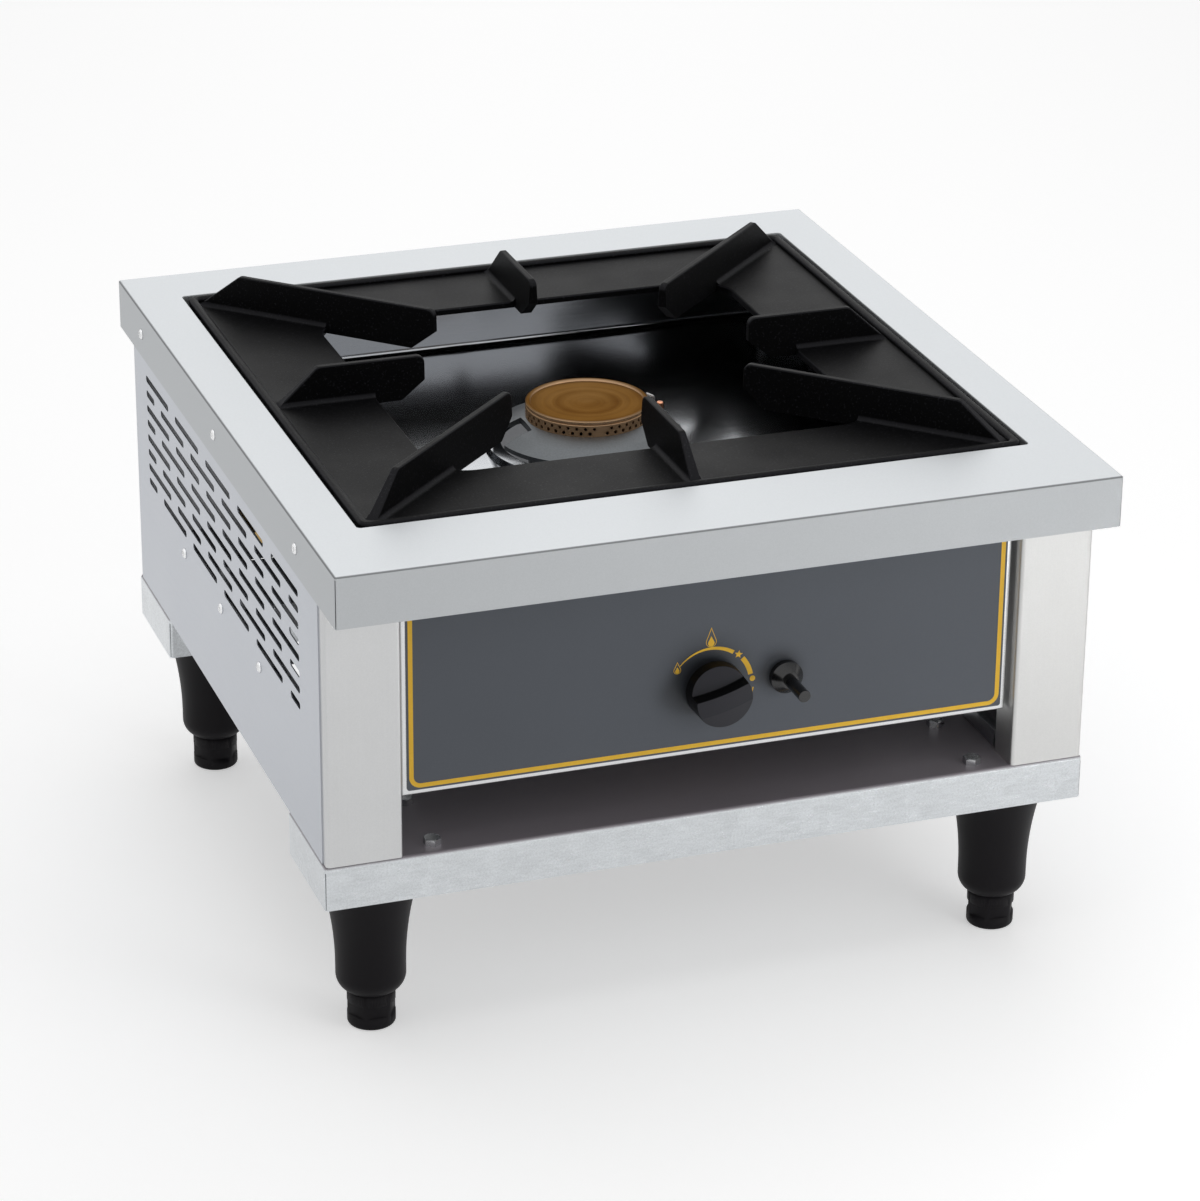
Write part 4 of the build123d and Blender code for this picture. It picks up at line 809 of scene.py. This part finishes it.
# Painted shade: the sills inside the body are made darker than the rails' zinc.
SHADED_ZINC_SILL = Galvanised("shaded_zinc_sill", (0.380, 0.390, 0.405), 0.30, Grain.DEEP)
ZINC_PLATE = Drawn("zinc_plate", (0.560, 0.570, 0.580), 0.26)
SCREW_PLATE = Drawn("screw_plate", (0.860, 0.865, 0.870), 0.18)
TURNED_STEEL = Drawn("turned_steel", (0.500, 0.500, 0.500), 0.30)
# The burner head's level faces carry heat tint and painted shade.
BURNER_BRASS = Turned(
    "burner_brass", (0.610, 0.390, 0.225), 0.24, axis=(0.0, 12.5 * MM, 0.0), tarnish_and_shade=(0.060, 0.040, 0.025)
)
TAP_BRASS = Drawn("tap_brass", (0.700, 0.490, 0.210), 0.30)
ALUMINIUM = Drawn("drawn_aluminium", (0.640, 0.645, 0.650), 0.34)
COPPER = Drawn("drawn_copper", (0.640, 0.300, 0.180), 0.30)

# Coats, castings, plastic and ceramic
SLATE = Coated("slate_coat", screen(83, 87, 94), 0.40, sheen=0.36)
GOLD_PRINT = Coated("gold_print", screen(236, 188, 58), 0.42, sheen=0.35)
# The knob's forward faces carry a painted highlight.
BLACK_KNOB = Moulded("black_knob", screen(6, 6, 7), 0.40, sheen=0.14, front_shading=17.0)
BLACK_FOOT = Moulded("black_foot", screen(16, 14, 17), 0.50, grain_size=0.9 * MM, relief=0.22, sheen=0.14)
BLACK_BUTTON = Moulded("black_button", screen(9, 9, 11), 0.22, grain_size=0.4 * MM, relief=0.02, sheen=0.65)
SLEEVE = Moulded("red_sleeve", screen(150, 32, 26), 0.50, grain_size=0.8 * MM, relief=0.06, sheen=0.4)
# The enamel's slanting faces carry a painted highlight.
BLACK_ENAMEL = CastSkin(
    "black_enamel_cast", screen(7, 7, 8), 0.46,
    grain_size=1.0 * MM, depth=0.26 * MM, sheen=0.06, dust=9.0, edge_highlight=7.0,
)
GREY_CASTING = CastSkin(
    "grey_casting", (0.105, 0.112, 0.118), 0.40, metallic=0.85, grain_size=1.4 * MM, depth=0.30 * MM
)
CERAMIC = Drawn("glazed_ceramic", screen(228, 222, 208), 0.22, metallic=0.0)


@dataclass(frozen=True)
class Thread:
    """A screw thread cut into a rod."""

    radius: float
    pitch: float
    depth: float
    length: float
    steps: int = 32
    clearance: float = 0.3 * MM
    groove_share: float = 0.94

    def groove(self) -> Blank:
        """Sweeps a V up a helix round the Z axis, from the origin.

        Returns:
            The groove as a solid to cut with.
        """
        corners = 3
        triangle_height = 1.5
        triangle_side = math.sqrt(3)
        groove = Blank("groove", bpy.ops.mesh.primitive_circle_add, vertices=corners, radius=1.0)
        point_in = turned(90, "X") @ turned(90, "Z")
        reach = (self.depth + self.clearance) / triangle_height
        width = self.groove_share * self.pitch / triangle_side
        place = Matrix.Translation((self.radius - self.depth + reach, 0.0, 0.0))
        groove.move(place @ Matrix.Diagonal((reach, 1.0, width, 1.0)) @ point_in)
        turns = math.ceil(self.length / self.pitch)
        pace = {"screw_offset": self.pitch, "steps": self.steps, "render_steps": self.steps}
        groove.apply("SCREW", axis="Z", iterations=turns, **pace)
        with groove.edit():
            bpy.ops.mesh.fill_holes(sides=corners)
            bpy.ops.mesh.select_all(action="SELECT")
            bpy.ops.mesh.normals_make_consistent(inside=False)
        return groove


class Assembly:
    """What all sub-assemblies share."""

    def dress(self) -> None:
        """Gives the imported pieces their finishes."""

    def build(self) -> None:
        """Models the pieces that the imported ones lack."""


@dataclass
class SheetBody(Assembly):
    """The folded body: top, side panels, posts, sills, rear panel, rails and what fastens them."""

    recess_width: float = 1.1 * MM
    recess_reach: float = 1.6 * MM
    recess_depth: float = 1.2 * MM
    recess_stretch: float = 4.0

    def dress(self) -> None:
        """Gives each sheet its own grain and tone, with painted light on the right post and painted shade on the
        sills.
        """
        dress(STAINLESS_TOP, "top_frame")
        dress(STAINLESS_SIDE, "side_panel_left", "side_panel_right")
        dress(STAINLESS_POST, "front_post_left")
        dress(STAINLESS_POST_LIT, "front_post_right")
        dress(STAINLESS_BACK, "rear_panel")
        dress(ZINC_SHEET, "front_rail", "rear_rail")
        dress(SHADED_ZINC_SILL, "side_sill_left", "side_sill_right")
        dress(ZINC_PLATE, "side_screws", "foot_bolts")

    def recess(self) -> Blank:
        """Makes the cross that is pressed into a screw's head.

        Returns:
            The cross as a solid to cut with, round the origin and drawn out along X.
        """
        cross = Blank("cross", bpy.ops.mesh.primitive_cube_add, size=self.recess_width)
        with cross.edit():
            bpy.ops.transform.resize(value=(self.recess_stretch, 1.0, 1.0))
            for arm in (Vector((0, 1, 0)), Vector((0, -1, 0)), Vector((0, 0, 1)), Vector((0, 0, -1))):
                cross.pick(Element.FACE, lambda place: place.dot(arm) > self.recess_width / 3)
                bpy.ops.mesh.extrude_region_move(TRANSFORM_OT_translate={"value": self.recess_reach * arm})
        return cross

    def build(self) -> None:
        """Presses a cross recess into each dome-headed screw."""
        screws = Blank.copy_of("side_screws", "side_screws_recessed")
        with screws.edit():
            bpy.ops.mesh.separate(type="LOOSE")
        singles = list(bpy.context.selected_objects)
        half = self.recess_stretch * self.recess_width / 2
        for single in singles:
            places = [vertex.co for vertex in single.data.vertices]
            tip = max(places, key=lambda place: abs(place.x))
            cross = self.recess()
            inward = (half - self.recess_depth) * math.copysign(1.0, tip.x)
            cross.move(Matrix.Translation((tip.x + inward, tip.y, tip.z)))
            Blank.of(single).cut(cross)
        screws.alone()
        for single in singles:
            single.select_set(True)
        bpy.ops.object.join()
        screws.finish(SCREW_PLATE, ROOT, "zinc_plated", "side_screws")


@dataclass
class Feet(Assembly):
    """The four moulded feet with their screw adjusters."""

    thread: Thread = Thread(radius=10.0 * MM, pitch=2.5 * MM, depth=1.1 * MM, length=54.0 * MM)
    run_out: float = 2.5 * MM
    stem_foot: float = 29.5 * MM

    def dress(self) -> None:
        """Gives the mouldings their finish."""
        for corner in CORNERS:
            dress(BLACK_FOOT, f"foot_{corner}", f"foot_adjuster_{corner}")

    def build(self) -> None:
        """Cuts a coarse thread into each adjuster's stem."""
        for corner in CORNERS:
            node = f"foot_adjuster_{corner}"
            low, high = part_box(node)
            adjuster = Blank.copy_of(node, f"{node}_threaded")
            groove = self.thread.groove()
            middle = (low + high) / 2
            groove.move(Matrix.Translation((middle.x, middle.y, self.stem_foot + self.run_out)))
            adjuster.cut(groove)
            adjuster.finish(BLACK_FOOT, node, "black_plastic", node)


@dataclass(frozen=True)
class Arc:
    """A printed arc of a ring round the knob, its angles in degrees from the right.

    The ring's inner edge is shifted away from the angle that it leans to, so it is thicker there.
    """

    name: str
    radius: float
    start: float
    end: float
    width: float
    shift: float = 0.0
    lean: float = 0.0


@dataclass(frozen=True)
class Flame:
    """A printed flame, its foot at x and z from the dial's middle, filled or an outline with a line's width."""

    name: str
    width: float
    height: float
    x: float
    z: float
    line: float = 0.0


@dataclass
class ControlFront(Assembly):
    """The control panel: its printed faceplate, the knob and the push-button igniter."""

    print_thickness: float = 0.12 * MM
    line_width: float = 3.4 * MM
    line_inset: float = 1.6 * MM
    line_corner: float = 9.0 * MM
    line_steps: int = 10
    knob_shadow_radius: float = 48.0 * MM
    igniter_shadow_radius: float = 26.0 * MM
    reach_shift: float = 5.0 * MM
    dial_radius: float = 31.5 * MM
    dial_drop: float = 1.3 * MM
    ring_steps: int = 120
    flame_steps: int = 48
    dot_steps: int = 32
    off_radius: float = 32.3 * MM
    off_angle: float = 4.5
    off_dot: float = 2.2 * MM
    spark_angle: float = 48.5
    spark_size: float = 3.3 * MM
    spark_waist: float = 0.44
    spark_turn: float = -11.0
    spark_points: int = 5
    arcs: tuple[Arc, ...] = (
        Arc("dial_off_line", 33.2 * MM, -16.0, -8.0, 0.8 * MM),
        Arc("dial_lighting_arc", dial_radius, 11.5, 40.0, 3.3 * MM, shift=0.5 * MM, lean=26.0),
        Arc("dial_flame_arc", dial_radius, 57.0, 142.0, 1.6 * MM, shift=1.88 * MM, lean=15.0),
    )
    flames: tuple[Flame, ...] = (
        Flame("dial_large_flame_outline", 8.3 * MM, 15.8 * MM, -0.8 * MM, 32.4 * MM, line=0.42 * MM),
        Flame("dial_large_flame", 5.0 * MM, 8.2 * MM, -0.8 * MM, 33.0 * MM),
        Flame("dial_small_flame_outline", 5.8 * MM, 9.8 * MM, -27.0 * MM, 14.2 * MM, line=0.42 * MM),
        Flame("dial_small_flame", 3.3 * MM, 5.0 * MM, -27.0 * MM, 14.8 * MM),
    )

    def dress(self) -> None:
        """Gives the panel and its controls their finishes."""
        dress(STAINLESS_BRIGHT, "control_panel")
        dress(replace(SLATE, shadow_rings=tuple(self.reach())), "faceplate")
        dress(BLACK_KNOB, "knob")
        dress(BLACK_BUTTON, "igniter_body", "igniter_button", "igniter_nut")

    # Painted shadow: these rings darken the faceplate round the controls.
    def reach(self) -> Iterator[tuple[float, float, float]]:
        """Finds the rings of painted shadow round knob and igniter, shifted up and to the left.

        Yields:
            The X and the Z of each ring's middle, and its radius.
        """
        for name, radius in (("knob", self.knob_shadow_radius), ("igniter_button", self.igniter_shadow_radius)):
            middle = sum(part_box(name), Vector()) / 2
            yield middle.x - self.reach_shift, middle.z + self.reach_shift, radius

    def stand(self, mark: Blank, x: float, z: float, turn: float = 0.0) -> None:
        """Gives a flat mark its thickness and stands it on the faceplate, facing forwards.

        Args:
            mark: The mark, lying flat with its face up.
            x: Its place across the faceplate.
            z: Its height.
            turn: Its turn on the faceplate, in degrees.
        """
        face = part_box("faceplate")[0].y
        with mark.edit():
            mark.thicken(self.print_thickness)
        mark.move(Matrix.Translation((x, face, z)) @ turned(90, "X") @ turned(turn, "Z"))
        mark.finish(GOLD_PRINT, ROOT, "faceplate_slate")

    def border(self) -> None:
        """Prints the line round the faceplate."""
        low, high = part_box("faceplate")
        width = high.x - low.x - 2 * self.line_inset
        height = high.z - low.z - 2 * self.line_inset
        line = Blank("faceplate_border", bpy.ops.mesh.primitive_plane_add, size=1.0)
        line.move(Matrix.Diagonal((width, height, 1.0, 1.0)))
        with line.edit():
            bpy.ops.mesh.bevel(offset=self.line_corner, segments=self.line_steps, affect="VERTICES")
            bpy.ops.mesh.inset(thickness=self.line_width)
            line.drop_faces(lambda place: place.length < self.line_width)
        self.stand(line, (low.x + high.x) / 2, (low.z + high.z) / 2)

    def disc(self, name: str, steps: int, radius: float) -> Blank:
        """Adds a filled circle round the origin."""
        return Blank(name, bpy.ops.mesh.primitive_circle_add, vertices=steps, radius=radius, fill_type="NGON")

    def arc(self, arc: Arc) -> Blank:
        """Cuts an arc out of a ring round the knob.

        Args:
            arc: The arc's sizes.

        Returns:
            The flat arc round the origin.
        """
        ring = self.disc(arc.name, self.ring_steps, arc.radius + arc.width / 2)
        lean = math.radians(arc.lean)
        away = Vector((math.cos(lean), math.sin(lean), 0.0)) * -arc.shift
        with ring.edit():
            bpy.ops.mesh.inset(thickness=arc.width)
            ring.drop_faces(lambda place: place.length < arc.width)
            ring.pick(Element.VERTEX, lambda place: place.length < arc.radius)
            bpy.ops.transform.translate(value=away)
            for angle, side in ((arc.start, -1), (arc.end, 1)):
                turn = math.radians(angle)
                bpy.ops.mesh.select_all(action="SELECT")
                outward = (-side * math.sin(turn), side * math.cos(turn), 0.0)
                bpy.ops.mesh.bisect(plane_co=(0, 0, 0), plane_no=outward, clear_outer=True)
        return ring

    def drop(self, flame: Flame) -> Blank:
        """Draws a disc up to a point, as a flame that is filled or an outline.

        Args:
            flame: The flame's sizes.

        Returns:
            The flat flame, with its foot at the origin.
        """
        width, height, line = flame.width, flame.height, flame.line
        radius = width / 2
        touch = math.acos(radius / (height - radius))
        drop = self.disc(flame.name, self.flame_steps, radius)
        drop.move(Matrix.Translation((0.0, radius, 0.0)))
        with drop.edit():
            drop.pick(Element.VERTEX, lambda place: TINY < abs(math.atan2(place.x, place.y - radius)) < touch)
            bpy.ops.mesh.dissolve_verts()
            drop.pick(Element.VERTEX, lambda place: place.y > width - TINY)
            bpy.ops.transform.translate(value=(0.0, height - width, 0.0))
            bpy.ops.mesh.select_all(action="SELECT")
            if line:
                bpy.ops.mesh.inset(thickness=line)
                drop.drop_faces(lambda place: abs(place.x) < line / 4 and line < place.y < height - 3 * line)
        return drop

    def star(self) -> Blank:
        """Draws the pointed spark.

        Returns:
            The flat star round the origin.
        """
        star = self.disc("dial_spark", 2 * self.spark_points, self.spark_size)
        apart = 360 // self.spark_points
        with star.edit():
            star.pick(Element.VERTEX, lambda place: round(math.degrees(math.atan2(place.x, place.y))) % apart != 0)
            bpy.ops.transform.resize(value=(self.spark_waist, self.spark_waist, 1.0))
        return star

    def marks(self) -> None:
        """Prints the dial: its arcs, the off dot, a spark, and a large and a small flame."""
        hinge = next(joint for joint in frame["joints"] if joint["name"] == "knob_turn")
        x, _, z = hinge["pos_m"]
        z -= self.dial_drop
        for arc in self.arcs:
            self.stand(self.arc(arc), x, z)
        dot = self.disc("dial_off_dot", self.dot_steps, self.off_dot)
        off = math.radians(self.off_angle)
        self.stand(dot, x + self.off_radius * math.cos(off), z + self.off_radius * math.sin(off))
        spark = math.radians(self.spark_angle)
        across, up = self.dial_radius * math.cos(spark), self.dial_radius * math.sin(spark)
        self.stand(self.star(), x + across, z + up, self.spark_turn)
        for flame in self.flames:
            self.stand(self.drop(flame), x + flame.x, z + flame.z)

    def build(self) -> None:
        """Prints the border and the dial."""
        self.border()
        self.marks()


@dataclass
class Burner(Assembly):
    """The burner, its support, its tray and what lights and watches its flame."""

    def dress(self) -> None:
        """Gives castings, brass and sheet their finishes."""
        dress(GREY_CASTING, "burner_body")
        dress(BURNER_BRASS, "burner_head")
        dress(STAINLESS_TRAY, "spill_tray")
        dress(STAINLESS_BRIGHT, "pilot_bracket")
        dress(SHADED_FOLDED_STEEL, "burner_bridge", "burner_angle_left", "burner_angle_right", "air_shutter")
        dress(ZINC_PLATE, "burner_bolts")
        dress(COPPER, "thermocouple", "thermocouple_lead")
        dress(CERAMIC, "electrode_insulator")
        dress(TURNED_STEEL, "spark_electrode")
        dress(SLEEVE, "ignition_lead")


@dataclass
class PanSupport(Assembly):
    """The cast pan support."""

    def dress(self) -> None:
        """Gives the casting its black enamel."""
        dress(BLACK_ENAMEL, "pan_support")


@dataclass
class GasLine(Assembly):
    """Inlet, pipes, tap and injector, and the springs of the tap and of the igniter."""

    thread: Thread = Thread(radius=10.48 * MM, pitch=1.814 * MM, depth=1.16 * MM, length=23.5 * MM)
    run_out: float = 2.0 * MM
    shoulder: float = 289.5 * MM
    inlet_x: float = -200.0 * MM
    tap_travel: float = 4.5 * MM
    igniter_travel: float = 6.0 * MM

    def dress(self) -> None:
        """Gives the fittings and the pipes their finishes."""
        dress(TAP_BRASS, "gas_tap", "tap_plunger", "injector", "gas_inlet", "inlet_nut", "pipe_nuts")
        dress(ZINC_PLATE, "tap_screws")
        dress(TURNED_STEEL, "tap_stem", "tap_spring", "igniter_spring")
        dress(ALUMINIUM, "supply_pipe", "injector_pipe")

    def coil(self, node: str, joint: str, travel: float) -> None:
        """Replaces a spring with a merged copy of its own, fixed on the stove's body.

        Args:
            node: The spring.
            joint: Not used.
            travel: Not used.
        """
        spring = Blank.copy_of(node, f"{node}_coil")
        spring.finish(TURNED_STEEL, ROOT, "plain_steel", node)
        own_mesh(spring.item)

    def build(self) -> None:
        """Cuts the inlet's pipe thread and sets up both springs."""
        low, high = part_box("gas_inlet")
        inlet = Blank.copy_of("gas_inlet", "gas_inlet_threaded")
        groove = self.thread.groove()
        start = (self.inlet_x, self.shoulder + self.run_out, high.z - (high.z - low.z) / 2)
        groove.move(Matrix.Translation(start) @ turned(-90, "X"))
        inlet.cut(groove)
        inlet.finish(TAP_BRASS, ROOT, "brass", "gas_inlet")
        self.coil("tap_spring", "knob_push", self.tap_travel)
        self.coil("igniter_spring", "igniter_press", self.igniter_travel)


@dataclass(frozen=True)
class Lamp:
    """A square soft light, with a radiance where 1 is white, that is mirrored in shiny surfaces or not."""

    name: str
    place: Place
    aim: Place
    side: float
    radiance: float
    mirrored: bool = True


@dataclass
class Studio:
    """The pale floor, the soft light and the camera."""

    azimuth: float = -19.3742
    elevation: float = 23.7828
    roll: float = 0.4854
    eye: Place = (-1.0208, -2.9246, 1.5767)
    sensor: float = 36.0
    lens: float = 127.76
    sight: float = 100.0
    floor_size: float = 60.0
    floor_colour: Colour = (0.92, 0.92, 0.92)
    floor_roughness: float = 0.9
    floor_lift: float = 0.44
    ambient: float = 0.30
    lamps: tuple[Lamp, ...] = (
        Lamp("overhead_softbox", (0.0, 0.2, 2.8), (0.0, 0.0, 0.4), side=3.4, radiance=0.75),
        Lamp("back_softbox", (1.0, 3.0, 1.8), (0.0, 0.0, 0.4), side=2.4, radiance=0.58),
        Lamp("right_softbox", (1.7, -1.7, 1.2), (0.2, -0.5, 0.1), side=1.2, radiance=0.9),
        Lamp("low_softbox", (0.75, -1.3, 0.10), (0.1, -0.28, 0.26), side=0.5, radiance=9.0, mirrored=False),
    )

    def camera(self) -> None:
        """Sets the camera at the photograph's angle."""
        turn = math.radians(self.azimuth)
        rise = math.radians(self.elevation)
        back = Vector((math.sin(turn) * math.cos(rise), -math.cos(turn) * math.cos(rise), math.sin(rise)))
        level = Vector((math.cos(turn), math.sin(turn), 0.0))
        lean = Matrix.Rotation(math.radians(self.roll), 3, back)
        right = lean @ level
        up = back.cross(right)
        data = bpy.data.cameras.new("camera")
        data.sensor_width = self.sensor
        data.lens = self.lens
        data.clip_end = self.sight
        camera = bpy.data.objects.new("camera", data)
        axes = Matrix((right, up, back)).transposed().to_4x4()
        camera.matrix_world = Matrix.Translation(self.eye) @ axes
        bpy.context.collection.objects.link(camera)
        bpy.context.scene.camera = camera

    def floor(self) -> None:
        """Lays a pale floor that keeps the stove's shadow and runs into a white distance."""
        floor = Blank("floor", bpy.ops.mesh.primitive_plane_add, size=self.floor_size).item
        material = bpy.data.materials.new("pale_floor")
        shade = Shade(material)
        shade.surface(
            Base_Color=self.floor_colour,
            Roughness=self.floor_roughness,
            Specular_IOR_Level=0.0,
            Emission_Color=WHITE,
            Emission_Strength=self.floor_lift * shade.seen(),
        )
        floor.data.materials.append(material)

    def world(self) -> None:
        """Makes the surroundings white to look at and a plain soft light on everything."""
        world = bpy.data.worlds.new("white_room")
        bpy.context.scene.world = world
        shade = Shade(world, "Background")
        limits = {"Value": shade.seen(), "To Min": self.ambient, "To Max": 1.0}
        shade.surface(Color=WHITE, Strength=shade.node("ShaderNodeMapRange", None, limits))

    def hang(self, lamp: Lamp) -> None:
        """Hangs one soft light.

        Args:
            lamp: Its place, size and brightness.
        """
        data = bpy.data.lights.new(lamp.name, "AREA")
        data.shape = "SQUARE"
        data.size = lamp.side
        data.energy = lamp.radiance * math.pi * lamp.side * lamp.side
        light = bpy.data.objects.new(lamp.name, data)
        light.location = lamp.place
        light.rotation_mode = "QUATERNION"
        light.rotation_quaternion = (Vector(lamp.aim) - Vector(lamp.place)).to_track_quat("-Z", "Y")
        light.visible_camera = False
        light.visible_glossy = lamp.mirrored
        bpy.context.collection.objects.link(light)

    def build(self) -> None:
        """Sets up floor, light and camera."""
        bpy.context.scene.view_settings.view_transform = "Standard"
        self.floor()
        self.world()
        for lamp in self.lamps:
            self.hang(lamp)
        self.camera()
        log.info("floor, light and camera are set")


def main() -> None:
    """Dresses the stove, models what it lacks and sets up the studio."""
    logging.basicConfig(level=logging.INFO, format="%(name)s: %(message)s")
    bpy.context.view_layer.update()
    for assembly in (SheetBody(), Feet(), ControlFront(), Burner(), PanSupport(), GasLine()):
        assembly.dress()
        assembly.build()
    Studio().build()


if __name__ == "__main__":
    main()
